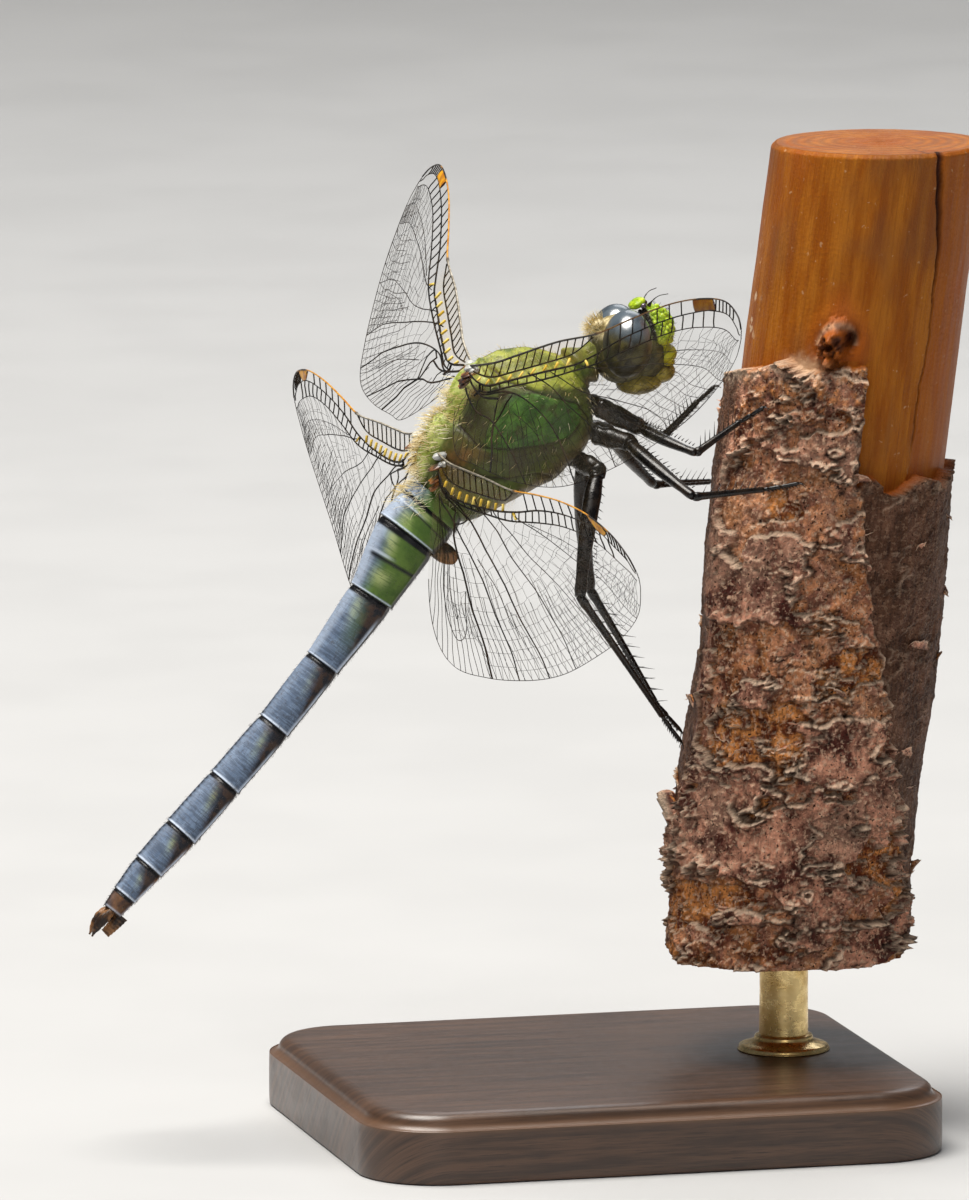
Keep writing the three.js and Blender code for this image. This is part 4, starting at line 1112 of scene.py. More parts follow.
# ---------- wings ----------
# Long veins as places along the span and across the chord, both as shares.
FORE_VEINS = dict(
    subcosta=((.02, .13), (.1, .155), (.2, .15), (.4, .12), (.49, .02)),
    radius=((.02, .22), (.1, .26), (.3, .225), (.44, .19), (.5, .15), (.6, .11), (.83, .11), (.9, .12),
            (.97, .2), (.995, .5)),
    stem=((.02, .33), (.085, .36), (.19, .40)),
    arculus=((.085, .25), (.088, .34), (.085, .42)),
    first=((.085, .33), (.2, .295), (.35, .27), (.5, .22), (.7, .21), (.85, .24), (.95, .36), (.99, .62)),
    second=((.47, .2), (.6, .30), (.75, .42), (.88, .62), (.945, .98)),
    between=((.55, .24), (.7, .31), (.85, .42), (.94, .62), (.975, .96)),
    third=((.27, .2), (.4, .36), (.52, .56), (.61, .8), (.655, 1)),
    extra=((.36, .22), (.5, .38), (.62, .53), (.74, .74), (.81, 1)),
    media=((.085, .36), (.2, .33), (.35, .48), (.47, .7), (.545, 1)),
    rear_media=((.205, .62), (.3, .78), (.40, 1)),
    cubitus=((.205, .62), (.235, .8), (.265, 1)),
    anal=((.03, .5), (.1, .52), (.17, .57), (.205, .62)),
    anal_cross=((.11, .36), (.115, .53)),
    triangle=((.19, .36), (.235, .37), (.205, .62), (.19, .36)),
    radial_branch=((.53, .50), (.62, .60), (.7, .75)),
    media_branch=((.27, .52), (.38, .66), (.45, .82)),
)
HIND_VEINS = dict(
    subcosta=((.02, .10), (.1, .105), (.2, .10), (.36, .08), (.435, .01)),
    radius=((.02, .15), (.1, .17), (.3, .15), (.44, .115), (.6, .09), (.83, .10), (.9, .13), (.97, .25),
            (.99, .5)),
    stem=((.02, .22), (.07, .21), (.115, .21)),
    arculus=((.07, .16), (.072, .19), (.07, .22)),
    first=((.07, .19), (.2, .185), (.35, .175), (.5, .16), (.7, .17), (.85, .24), (.95, .42), (.985, .7)),
    second=((.42, .13), (.55, .22), (.7, .37), (.83, .58), (.92, 1)),
    between=((.5, .17), (.65, .25), (.8, .38), (.91, .6), (.955, 1)),
    third=((.22, .13), (.35, .28), (.48, .5), (.57, .74), (.615, 1)),
    extra=((.32, .15), (.45, .30), (.58, .48), (.7, .74), (.765, 1)),
    media=((.07, .2), (.14, .2), (.28, .36), (.4, .62), (.48, .86), (.51, 1)),
    rear_media=((.12, .3), (.2, .4), (.3, .62), (.37, .84), (.40, 1)),
    cubitus=((.12, .3), (.14, .42), (.2, .6), (.26, .8), (.3, 1)),
    anal=((.03, .3), (.08, .28), (.12, .3)),
    triangle=((.115, .21), (.175, .245), (.12, .3), (.115, .21)),
    media_branch=((.24, .42), (.33, .56), (.39, .72)),
    loop=((.03, .3), (.07, .42), (.09, .6), (.12, .78), (.165, .86), (.2, .79), (.19, .6)),
    midrib=((.08, .36), (.12, .6), (.16, .76)),
)
# Cells lie between these pairs of veins: outer vein, inner vein, cell size in millimetres.
FORE_CELLS = (("first", "second", .75), ("between", "second", .7), ("second", "extra", .8),
              ("extra", "third", .72), ("third", "radial_branch", .7), ("first", "third", 1.1),
              ("third", "media", .85), ("media", "rear_media", .75), ("rear_media", "cubitus", .75),
              ("media", "media_branch", .8))
HIND_CELLS = (("first", "second", .8), ("between", "second", .72), ("second", "extra", .8),
              ("extra", "third", .75), ("first", "third", 1.1), ("third", "media", .85),
              ("media", "rear_media", .75), ("rear_media", "cubitus", .8), ("media", "media_branch", .8),
              ("cubitus", "loop", .8), ("loop", "midrib", .75))
# Vein radii where they leave the body; those not named are fine.
VEIN_RADIUS = dict(radius=.062, subcosta=.048, stem=.06, arculus=.06, first=.052, media=.05, cubitus=.05,
                   anal=.05, third=.042, rear_media=.042, triangle=.04, loop=.022, midrib=.014,
                   extra=.036, second=.038)
FINE_VEIN = .026
# Fine veins that fan out to the trailing edge: where each reaches mid chord, and where it reaches the edge.
FORE_FAN = ((.03, .19, .27, .36, .49, .60, .8), (.03, .265, .40, .545, .655, .81, .945))
HIND_FAN = ((.03, .10, .17, .25, .345, .48, .585, .785), (.03, .165, .30, .40, .51, .615, .765, .92))


class WingSheet:
    """The surface of one wing: a point for each share of the span and share of the chord."""

    def __init__(self, name):
        self.name = name
        self.plan, self.side, root, *angles = WINGS[name]
        self.sweep, self.lift, self.pitch, self.twist, self.bend, self.droop = angles
        self.fore = self.plan is FOREWING
        self.root = np.array([root[0], -self.side * root[1], root[2]])
        middles = (np.arange(100) + 0.5) / 100
        steps = self.direction(middles) * self.plan["length"] / 100
        self.spar = np.vstack([self.root, self.root + np.cumsum(steps, axis=0)])
        self.fine = smooth_line(self.plan["outline"], 600)

    def direction(self, share):
        """The way the spar runs: one way up to the nodus, bent past it."""
        bent = ramp(share, self.plan["nodus"] - NODUS_SPREAD / 2, self.plan["nodus"] + NODUS_SPREAD / 2)
        inner = (self.sweep, self.lift, 1 - bent)
        outer = (self.sweep + self.bend, self.lift - self.droop, bent)
        total = 0
        for sweep, lift, weight in (inner, outer):
            s, l = math.radians(sweep), math.radians(lift)
            arm = np.array([math.cos(l) * math.sin(s), -self.side * math.cos(l) * math.cos(s), math.sin(l)])
            total = total + np.asarray(weight)[..., None] * arm
        return unit(total)

    def chord(self, share):
        """Leading and trailing edge as shares of the length."""
        at, lead, trail = self.fine[:, :3].T
        return np.interp(share, at, lead), np.interp(share, at, trail)

    def chord_width(self, share):
        lead, trail = self.chord(share)
        return (lead - trail) * self.plan["length"]

    def rise(self, share, across):
        """The pleats of the sheet, deep near the root's leading edge."""
        fade = 1 - 0.75 * ramp(share, 0.1, 0.95)
        first, second = self.plan["front"]
        knots = np.array([0, first, second, second + 0.09, second + 0.2, second + 0.36, second + 0.52,
                          0.85, 1.0])
        heights = np.array([0.05, -0.07, 0.09, -0.08, 0.06, -0.06, 0.06, -0.03, 0.0])
        return fade * np.interp(across, knots, heights)

    def point(self, share, across, lift=0.0):
        share, across = np.asarray(share, float), np.asarray(across, float)
        lead, trail = self.chord(share)
        place = np.clip(share, 0, 1) * 100
        step = np.minimum(place.astype(int), 99)
        base = self.spar[step] + (self.spar[step + 1] - self.spar[step]) * (place - step)[..., None]
        along = self.direction(share)
        pitch = np.radians(self.pitch + self.twist * share)
        ahead = np.stack([np.cos(pitch), np.zeros_like(pitch), np.sin(pitch)], -1)
        chord = unit(ahead - along * (ahead * along).sum(-1, keepdims=True))
        normal = np.cross(along, chord) * self.side
        local = base + chord * ((lead + (trail - lead) * across) * self.plan["length"])[..., None]
        return local + normal * (self.rise(share, across) + lift)[..., None]

    def world(self, share, across, lift=0.0):
        return from_thorax(self.point(share, across, lift))


def membrane_shape(sheet):
    """A thin closed sheet, with the share of the span and of the chord at each point of one face."""
    rows, columns = 220, 40
    share = np.linspace(0.012, 0.9985, rows)[:, None] + np.zeros(columns)
    across = np.linspace(0.0, 1.0, columns)[None] + np.zeros((rows, 1))
    places = np.stack([share * 40, across * 8, share * 0], -1).reshape(-1, 3)
    ripple = 0.02 * layered_noise(places, 2, 41).reshape(rows, columns)
    points = [sheet.world(share, across, ripple + half).reshape(-1, 3) for half in (0.008, -0.008)]
    top = grid_quads(rows, columns)
    under = top[:, ::-1] + rows * columns
    border = np.concatenate([np.arange(columns), np.arange(1, rows) * columns + columns - 1,
                             (rows - 1) * columns + np.arange(columns - 2, -1, -1),
                             np.arange(rows - 2, 0, -1) * columns])
    after = np.roll(border, -1)
    rim = np.stack([after, border, border + rows * columns, after + rows * columns], 1)
    return np.vstack(points), np.vstack([top, under, rim]), share.ravel(), across.ravel()


def vein_places(veins, name, count):
    return smooth_line(veins[name], count) if len(veins[name]) > 2 else evenly(veins[name], count)


def cross_fields(sheet, veins, cells, seed):
    """Short veins that divide the fields between long veins into cells, as pairs of wing places."""
    dice = random.Random(seed)
    length = sheet.plan["length"]
    lines = []
    for outer, inner, cell in cells:
        a, b = vein_places(veins, outer, 260), vein_places(veins, inner, 260)
        pa = np.stack([a[:, 0] * length, a[:, 1] * sheet.chord_width(a[:, 0])], 1)
        pb = np.stack([b[:, 0] * length, b[:, 1] * sheet.chord_width(b[:, 0])], 1)
        gap = np.linalg.norm(pa[:, None] - pb[None], axis=-1)
        start_a, start_b = divmod(int(np.argmin(gap)), 260)
        if start_a > 235 or start_b > 235:
            start_a = start_b = 0
        run = np.linalg.norm(np.diff(pb[start_b:], axis=0), axis=1).sum()
        steps = max(3, int(run / (cell * 0.95)))
        ea, eb = evenly(a[start_a:], steps + 1), evenly(b[start_b:], steps + 1)
        columns = []
        for p, q in zip(ea[1:], eb[1:]):
            width = np.hypot((p[0] - q[0]) * length, (p[1] - q[1]) * sheet.chord_width((p[0] + q[0]) / 2))
            rows = max(1, int(round(width / (cell * 1.05))))
            columns.append((p, q, rows))
        wobble = cell * 0.24 / length
        inset = np.array([wobble * 0.4, 0])
        for i, (p, q, rows) in enumerate(columns):
            shift = 0.5 if i % 2 else 0.0
            middle = [np.clip((k + shift + dice.uniform(-.12, .12)) / rows, 0.03, 0.97)
                      for k in range(rows) if k + shift > 0]
            joints = [p + (q - p) * e for e in [0.0, *middle, 1.0]]
            for k, joint in enumerate(joints[1:-1]):
                joint[0] += wobble * (1 if k % 2 else -1)
            lines += zip(joints[:-1], joints[1:])
            if i + 1 < len(columns):
                p2, q2, _ = columns[i + 1]
                for k in range(1, rows):
                    e = (k + 0.25) / rows
                    if 0.04 < e < 0.97:
                        lines.append((p + (q - p) * e + inset, p2 + (q2 - p2) * e - inset))
    return lines


def ladder(veins, first, second, places, slant=0.0):
    """Cross veins from the first vein, or from the front edge where it is None, to the second."""
    a = vein_places(veins, first, 200) if first else None
    b = vein_places(veins, second, 200)
    lines = []
    for place in places:
        w1 = 0.0 if a is None else np.interp(place, a[:, 0], a[:, 1])
        w2 = np.interp(place + slant, b[:, 0], b[:, 1])
        lines.append((np.array([place, w1]), np.array([place + slant, w2])))
    return lines


def fan_veins(sheet, fan, spacing, seed):
    """Long fine veins side by side, from about mid chord to the trailing edge."""
    dice = random.Random(seed)
    length = sheet.plan["length"]
    paths = []
    edge = 0.045
    while edge < fan[1][-1]:
        middle = np.interp(edge, fan[1], fan[0])
        start = dice.uniform(0.40, 0.72) if edge > 0.12 else dice.uniform(0.30, 0.5)
        t = np.linspace(start, 1.0, 16)
        share = middle + (edge - middle) * (t - 0.5) / 0.5 + 0.0016 * np.sin(t * 30 + edge * 90)
        paths.append(sheet.world(share, t))
        edge += spacing / length * dice.uniform(0.85, 1.15)
    return strands(paths, np.full((len(paths), 16), 0.0155), 4)


def straight_bars(sheet, lines, radius, start, end):
    """Short thick bars that reach part of the way between two veins."""
    paths = []
    for first, second in lines:
        a, b = sheet.world(*first), sheet.world(*second)
        t = np.array([start, start + 0.04, end - 0.04, end])[:, None]
        paths.append(a + (b - a) * t)
    radii = np.tile(np.array([0.6, 1.0, 1.0, 0.6]) * radius, (len(paths), 1))
    return strands(paths, radii, 4)


def bent_rods(sheet, lines, radius):
    """Thin rods that follow the sheet between pairs of wing places."""
    t = np.linspace(0, 1, 4)
    ends = np.array(lines)
    places = ends[:, :1] + (ends[:, 1:] - ends[:, :1]) * t[None, :, None]
    paths = sheet.world(places[..., 0], places[..., 1])
    return strands(paths, np.full(paths.shape[:2], radius), 4)


def edge_rod(sheet, share, across, radius):
    """One thin rod along wing places."""
    return strands(sheet.world(share, across)[None], np.broadcast_to(radius, (1, len(share))), 4)


def make_membrane(sheet):
    nodus = sheet.plan["nodus"]
    points, quads, share, across = membrane_shape(sheet)
    front = np.interp(share, [0, 0.3, nodus], [0.26, 0.23, 0.16] if sheet.fore else [0.18, 0.15, 0.11])
    amber = (across < front) * (1 - ramp(share, nodus - 0.05, nodus + 0.02))
    amber = np.maximum(amber, 0.3 * (1 - ramp(share, 0.015, 0.05)))
    if not sheet.fore:
        amber = np.maximum(amber, 0.35 * (across < 0.62) * (1 - ramp(share, 0.04, 0.11)))
    make_piece(f"{sheet.name}_membrane", (points, quads, []), "membrane", [sheet.name],
               {"amber": np.tile(amber, 2)})


def make_veins(sheet):
    """Raised veins: long ones that thin along the span, bars near the front edge, cells and fans behind."""
    fore, nodus = sheet.fore, sheet.plan["nodus"]
    veins = FORE_VEINS if fore else HIND_VEINS
    dark, ochre_glint = [], []
    for key in veins:
        share, across = vein_places(veins, key, 70).T
        wide = VEIN_RADIUS.get(key, FINE_VEIN) * (1 - 0.55 * ramp(share, 0.1, 0.98))
        dark.append(edge_rod(sheet, share, np.clip(across, 0, 1), wide))
    inner = [i / (16.2 if fore else 13.2) * nodus for i in range(1, 16 if fore else 13)]
    inner = [p + 0.02 for p in inner if p + 0.02 < nodus - 0.012]
    rungs = ladder(veins, None, "subcosta", inner)
    # The yellow bars here and the one at the nodus are a painted highlight: yellow standing for sunlight
    # glinting on these cross veins.
    bars = ladder(veins, "subcosta", "radius", [nodus * (0.14 + 0.087 * k) for k in range(9)])
    ochre_glint.append(straight_bars(sheet, bars, 0.072, 0.30, 0.95))
    knot = ladder(veins, "radius", "first", [nodus - 0.02], 0.022)
    ochre_glint.append(straight_bars(sheet, knot, 0.075, 0.1, 0.8))
    past = [nodus + (0.83 - nodus) * i / 8 for i in range(1, 8)]
    rungs += ladder(veins, None, "radius", past, 0.006)
    beyond = [0.91 + 0.012 * i for i in range(6)]
    rungs += ladder(veins, None, "radius", beyond)
    rungs += ladder(veins, "radius", "first", [0.1 + 0.035 * i for i in range(24)], 0.004)
    dark.append(bent_rods(sheet, rungs, 0.034))
    dark.append(bent_rods(sheet, cross_fields(sheet, veins, FORE_CELLS if fore else HIND_CELLS, 5), 0.0085))
    dark.append(fan_veins(sheet, FORE_FAN if fore else HIND_FAN, 0.85 if fore else 0.68, 6))
    dark.append(edge_rod(sheet, np.linspace(0.03, 0.999, 200), np.ones(200), 0.018))
    dark.append(edge_rod(sheet, np.full(30, 0.9985), np.linspace(0, 1, 30), 0.02))
    make_piece(f"{sheet.name}_veins", joined(dark), "vein")
    make_piece(f"{sheet.name}_front_veins", joined(ochre_glint), "ochre_glint")


def make_costa(sheet):
    """The leading edge, thickest near the body, with a knot at the nodus."""
    nodus = sheet.plan["nodus"]
    s = np.linspace(0.004, 0.998, 260)
    wide = 0.070 * (1 - 0.40 * ramp(s, 0.0, 0.9)) + 0.035 * bump_at(s, nodus, 0.008)
    path = sheet.world(s, np.full(260, 0.004))
    costa = swept(path, wide, 10, 0.85)
    ahead = unit(path - sheet.world(s, np.full(260, 0.3)))
    offset = (costa[0][:-2].reshape(260, 10, 3) - path[:, None]) / wide[:, None, None]
    front = (offset * ahead[:, None]).sum(-1)
    share_of = np.repeat(s, 10).reshape(260, 10)
    bars = 0.06 * np.sin(share_of * (300 if sheet.fore else 240))
    outer = ramp(share_of, nodus - 0.01, nodus + 0.015)
    dark = (1 - ramp(front + bars, 0.1 - 0.35 * outer, 0.5 - 0.35 * outer)) * (1 - 0.25 * outer)
    dark = np.maximum(dark, bump_at(share_of, nodus, 0.008) * 0.9)
    # The near forewing's front edge is darkened throughout: painted shade, as this wing lies in shade.
    if sheet.name == "forewing_right":
        dark = np.maximum(dark, 0.8)
    if sheet.name == "hindwing_right":
        dark = np.maximum(dark, 0.45 * (1 - outer))
    dark = np.maximum(dark, ramp(share_of, 0.83, 0.845) * (1 - 0.7 * bump_at(share_of, 0.915, 0.008)))
    make_piece(f"{sheet.name}_costa", costa, "costa", (),
               {"outer": np.concatenate([outer.ravel(), [0, 1]]),
                "dark": np.concatenate([dark.ravel(), [1, 1]])})


def make_stigma(sheet):
    """The amber cell near the tip, framed in black."""
    rows, columns = 40, 10
    u = np.linspace(0.835, 0.905, rows)[:, None] + np.zeros(columns)
    inner_edge = np.interp(u, [0.83, 0.9], [0.11, 0.12] if sheet.fore else [0.10, 0.13])
    w = 0.005 + np.linspace(0, 1, columns)[None] * (inner_edge - 0.005)
    if not sheet.fore:
        w = 0.005 + (w - 0.005) * (1 - 0.8 * np.abs(np.linspace(-1, 1, rows)[:, None]) ** 3)
    u = u + 0.012 * (np.linspace(0, 1, columns)[None] - 0.5)
    swell = 0.035 * np.sin(np.linspace(0, math.pi, columns))[None] + np.zeros((rows, 1))
    over, below = sheet.world(u, w, swell + 0.012), sheet.world(u, w, -swell - 0.012)
    ring = np.concatenate([over, below[:, ::-1]], axis=1)
    place = np.linspace(0, 1, rows)[:, None] + np.zeros(2 * columns)
    edge = np.minimum(place, 1 - place) * 2.2
    across = np.linspace(-1, 1, columns)
    side = np.abs(np.concatenate([across, across[::-1]]))[None] + np.zeros((rows, 1))
    framed = np.clip((1 - ramp(edge, 0.03, 0.12)) + ramp(side, 0.8, 0.97), 0, 1).ravel()
    # The near forewing's stigma is darkened: painted shade, as this wing lies in shade.
    if sheet.name == "forewing_right":
        framed = np.maximum(framed, 0.8)
    make_piece(f"{sheet.name}_stigma", ring_stack(ring), "stigma", (),
               {"dark": np.concatenate([framed, [1, 1]])})


def make_wing(name):
    sheet = WingSheet(name)
    make_membrane(sheet)
    make_veins(sheet)
    make_costa(sheet)
    make_stigma(sheet)
    return sheet


# ---------- wing hinges ----------
# Share of the span and of the chord, size, flatness, and whether it is a brown plate or a grey knob.
HINGES = ((0.004, 0.03, .27, .75, False), (0.016, 0.09, .20, .8, False), (0.008, 0.17, .40, .34, True),
          (0.006, 0.42, .34, .34, True), (0.004, 0.66, .28, .38, True))


def make_hinges(sheets):
    """The small plates and knobs that hold each wing to the back."""
    brown_plates, grey_knobs = [], []
    for sheet in sheets:
        dice = random.Random(7)
        inward = np.array([0, sheet.side * 1.0, 0])
        for share, across, size, flat, brown in HINGES:
            def lumps(ball):
                grain = layered_noise(ball.reshape(-1, 3) * 1.7 + size * 40, 3, 45)
                return 0.16 * grain.reshape(ball.shape[:2])

            for k in range(2):
                stray = np.array([dice.uniform(-.06, .06), 0, -0.10 - 0.09 * k])
                place = sheet.point(share, across) + inward * (0.34 * k) + stray
                r = size * (1 - 0.15 * k)
                points, quads, tris = egg_shape((0, 0, 0), (r * 1.35, r * 1.15, r * flat), 26, 36, lumps)
                points = from_thorax(points @ body_axes(dice.uniform(-35, 5)) + place)
                (brown_plates if brown else grey_knobs).append((points, quads, tris))
    make_piece("wing_hinge_plates", joined(brown_plates), "hinge")
    make_piece("wing_hinge_knobs", joined(grey_knobs), "knob")


# ---------- legs ----------
def leg_spines(start, end, length, radius, count, sides, lean):
    """Rows of spines down one part of a leg, one row for each side."""
    along = unit(end - start)
    paths, radii = [], []
    for side in sides:
        side = unit(side - along * (side @ along))
        for i in range(count):
            share = 0.08 + 0.86 * (i + 0.5) / count
            root = start + (end - start) * share + side * radius
            size = length * (0.75 + 0.35 * math.sin(i * 2.4) * 0.5 + 0.25 * math.sin(share * math.pi))
            t = np.linspace(0, 1, 5)[:, None]
            out = side * math.cos(lean) + along * math.sin(lean)
            paths.append(root + out * size * t)
            radii.append(0.034 * (1 - 0.85 * t[:, 0]))
    return strands(paths, radii, 4)


def make_leg(name):
    root, hip, knee, ankle, claw = (np.array(joint, float) for joint in LEGS[name])
    hind, front = name.startswith("hind"), name.startswith("front")
    fold = unit(np.cross(unit(knee - hip), unit(ankle - knee)))
    thigh_radius = .46 if hind else (.36 if front else .40)
    coxa_line = smooth_line([root + (root - hip) * 0.2, root, hip, hip + (knee - hip) * 0.05], 24)
    coxa = swept(coxa_line, np.interp(np.linspace(0, 1, 24), (0, .5, .8, 1), (.42, .46, .38, .30)), 20,
                 lump=lambda s, a: 0.05 * np.sin(2 * a + 5 * s) + 0.03 * np.sin(s * 30))
    ring = swept([hip + (knee - hip) * s for s in np.linspace(-0.02, 0.09, 10)],
                 [.25, .33, .36, .34, .30, .33, .36, .35, .32, .26], 20)
    bow = 0.16 if hind else 0.1
    upward = unit(np.cross(fold, knee - hip))
    t = np.linspace(0.07, 0.995, 40)[:, None]
    thigh_line = hip + (knee - hip) * t - upward * bow * np.sin(t * math.pi)
    taper = np.interp(t[:, 0], (0.07, .2, .5, .85, .95, 1), (.8, 1.0, .92, .66, .70, .55)) * thigh_radius
    thigh = swept(thigh_line, taper, 22, 0.85)
    make_piece(f"{name}_thigh", joined([coxa, ring, thigh]), "black", [f"{name}_femur"])

    t = np.linspace(0.0, 1.0, 40)[:, None]
    shin_line = knee + (ankle - knee) * t + upward * 0.05 * np.sin(t * math.pi)
    shin_radius = np.interp(t[:, 0], (0, .04, .1, .6, .93, 1), (.20, .25, .20, .155, .14, .15))
    shin = swept(shin_line, shin_radius * (1.05 if hind else 1), 14)
    bend = unit(unit(hip - knee) + unit(ankle - knee))
    across = unit(np.cross(unit(ankle - knee), bend))
    pair = [bend * 0.75 + across * 0.65, bend * 0.75 - across * 0.65]
    spines = leg_spines(knee, ankle, .78 if hind else .7, .12, 9 if hind else 8, pair, math.radians(38))
    hooks = leg_spines(hip, knee, .26, thigh_radius * .75, 14, pair, math.radians(30))
    comb = leg_spines(knee, ankle, .16, .13, 22, [-bend, across], math.radians(52))
    make_piece(f"{name}_shin", joined([shin, spines, hooks, comb]), "black", [f"{name}_tibia"])

    # The foot: three joints, two curved claws and small bristles below.
    parts = []
    toe = unit(claw - ankle)
    for a, b in ((0.0, 0.13), (0.13, 0.42), (0.42, 0.86)):
        share = np.linspace(a, b, 12)[:, None]
        line = ankle + (claw - ankle) * share
        radii = np.interp(np.linspace(0, 1, 12), (0, .15, .8, 1), (.075, .10, .115, .085))
        parts.append(swept(line, radii * (1.0 if b < .8 else 0.9), 12))
    down = unit(np.array([toe[2], 0, -toe[0]])) if abs(toe[1]) < 0.9 else np.array([0, 0, -1.0])
    wide = unit(np.cross(toe, down))
    heel = ankle + (claw - ankle) * 0.85
    for turn in (-1, 1):
        s = np.linspace(0, 1, 14)[:, None]
        reach = np.linalg.norm(claw - ankle) * 0.16
        line = heel + toe * reach * s + wide * turn * 0.22 * np.sin(s * 1.5) + down * 0.24 * s * s
        parts.append(swept(line, 0.055 * (1 - 0.75 * s[:, 0]), 8))
    below = [down, down + wide * 0.8, down - wide * 0.8]
    parts.append(leg_spines(ankle, heel, .2, .09, 9, below, math.radians(45)))
    make_piece(f"{name}_foot", joined(parts), "black", [f"{name}_tarsus"])


# ---------- hair ----------
def tuft_mesh(name, roots, tips, bends, radius, look, unwrap):
    """Thin tapered tufts as one mesh; OFBake holds a small patch for each, at its root's place."""
    t = np.array([0.0, 0.4, 0.75, 1.0])[None, :, None]
    paths = roots[:, None] + (tips - roots)[:, None] * t + bends[:, None] * (t * (1 - t) * 4)
    radii = radius[:, None] * np.array([1.0, 0.85, 0.5, 0.12])[None]
    mesh = make_piece(name, strands(paths, radii, 3), look).data
    unwrapping = mesh.uv_layers.new(name="OFBake")
    around, rings = 3, 4
    patch = 0.003
    across, down = np.tile(np.arange(around) / 2, rings), np.repeat(np.arange(rings) / 3, around)
    own = np.stack([across, down], 1) * patch
    places = np.repeat(unwrap, around * rings, axis=0) * (1 - patch) + np.tile(own, (len(roots), 1))
    corner = np.zeros(len(mesh.loops), np.int32)
    mesh.loops.foreach_get("vertex_index", corner)
    unwrapping.data.foreach_set("uv", places[corner].astype(np.float32).ravel())


def grid_hair(rings, seed, weight, count, length, lie, stand, radius):
    """Hairs scattered over a ring grid by weight; lie is the way they run, stand how far they stand up."""
    dice = np.random.default_rng(seed)
    rows, around, _ = rings.shape
    weight = weight.ravel()
    pick = dice.choice(rows * around, size=count, p=weight / weight.sum())
    r, c = np.divmod(pick, around)
    roots = rings[r, c]
    middle = rings.mean(1)[r]
    before, after = rings[np.maximum(r - 2, 0), c], rings[np.minimum(r + 2, rows - 1), c]
    left, right = rings[r, (c - 2) % around], rings[r, (c + 2) % around]
    normal = unit(np.cross(after - before, right - left))
    normal *= np.sign(((roots - middle) * normal).sum(1, keepdims=True))
    flow = lie + dice.normal(0, 0.28, (count, 3))
    flow = unit(flow - normal * (flow * normal).sum(1, keepdims=True))
    size = length * dice.uniform(0.6, 1.25, (count, 1))
    tips = roots + (flow * math.cos(stand) + normal * math.sin(stand)) * size
    bends = normal * size * 0.10 + dice.normal(0, 0.03, (count, 3))
    radii = radius * dice.uniform(0.7, 1.2, count)
    return roots - normal * 0.02, tips, bends, radii, np.stack([c / around, r / rows], 1)


# Hair on the head: centre and radii of the ball that carries it, from which height to which, how many, how
# long, its finish, how far it stands up, its drift backward or forward, and its radius.
HEAD_HAIR = {
    "hair_occiput": ((-1.25, 0, 0.85), (0.62, 0.66, 0.62), -.2, 1, 260, .50, "fleece", 1.0, -0.2, .012),
    "hair_face": ((1.55, 0, 0.62), (0.98, 1.33, 1.22), -1, 1, 130, .15, "bristle", 0.9, 0.25, .010),
    "hair_mouth": ((1.6, 0, -1.5), (0.74, 1.15, 0.62), -1, 1, 80, .22, "fleece", 0.6, 0.25, .010),
    "hair_throat": ((0.45, 0, -2.0), (1.15, 1.35, 0.6), -1, .2, 70, .24, "fleece", 0.5, 0.25, .010),
    "hair_neck": ((-1.5, 0, -0.4), (0.7, 1.5, 1.3), -1, 1, 90, .3, "fleece", 0.7, 0.25, .010),
}


def make_thorax_hair(grid):
    rings = from_thorax(grid)
    rows, around, _ = rings.shape
    forward = grid[..., 0]
    lift = np.cos(circle(around))[None] + np.zeros((rows, 1))
    on_back = ramp(lift, 0.6, 0.9) * (1 - ramp(forward, 3.8, 5.6))
    on_sides = (0.35 + 0.65 * (1 - ramp(forward, 0.6, 1.8))) * (1 - ramp(lift, 0.5, 0.8)) + 0.001
    in_front = ramp(forward, 6.4, 7.2) * ramp(lift, -0.3, 0.4)
    back, up = -body_axes(THORAX_PITCH)[0], np.array([0, 0, 1.0])
    for name, seed, weight, count, length, lie, stand, radius in (
            ("hair_thorax_back", 51, on_back, 520, 0.7, back + up * 0.5, 50, .019),
            ("hair_thorax_sides", 52, on_sides, 300, 0.5, back - up * 0.3, 30, .011),
            ("hair_thorax_front", 53, in_front, 260, 0.36, back + up * 0.3, 48, .011)):
        roots, tips, bends, radii, unwrap = grid_hair(
            rings, seed, weight, count, length, lie, math.radians(stand), radius)
        tuft_mesh(name, roots, tips, bends, radii, "fleece", unwrap)


def make_abdomen_hair(rings):
    rows, around, _ = rings.shape
    steps = np.linalg.norm(np.diff(rings.mean(1), axis=0), axis=1)
    along = np.concatenate([[0], np.cumsum(steps)])[:, None]
    lift = np.cos(circle(around))[None]
    at_waist = (1 - ramp(along, 0.9, 2.2)) * ramp(lift, 0.1, 0.8)
    all_over = np.ones((rows, around)) * (0.4 + 0.6 * (lift < 0.2))
    back, up = -pitched(52.0), np.array([0, 0, 1.0])
    for name, seed, weight, count, length, lie, stand, radius, finish in (
            ("hair_waist", 54, at_waist, 170, 0.6, back + up * 0.25, 38, .017, "fleece"),
            ("hair_abdomen", 55, all_over, 5200, 0.17, back, 18, .006, "bristle")):
        roots, tips, bends, radii, unwrap = grid_hair(
            rings, seed, weight, count, length, lie, math.radians(stand), radius)
        tuft_mesh(name, roots, tips, bends, radii, finish, unwrap)


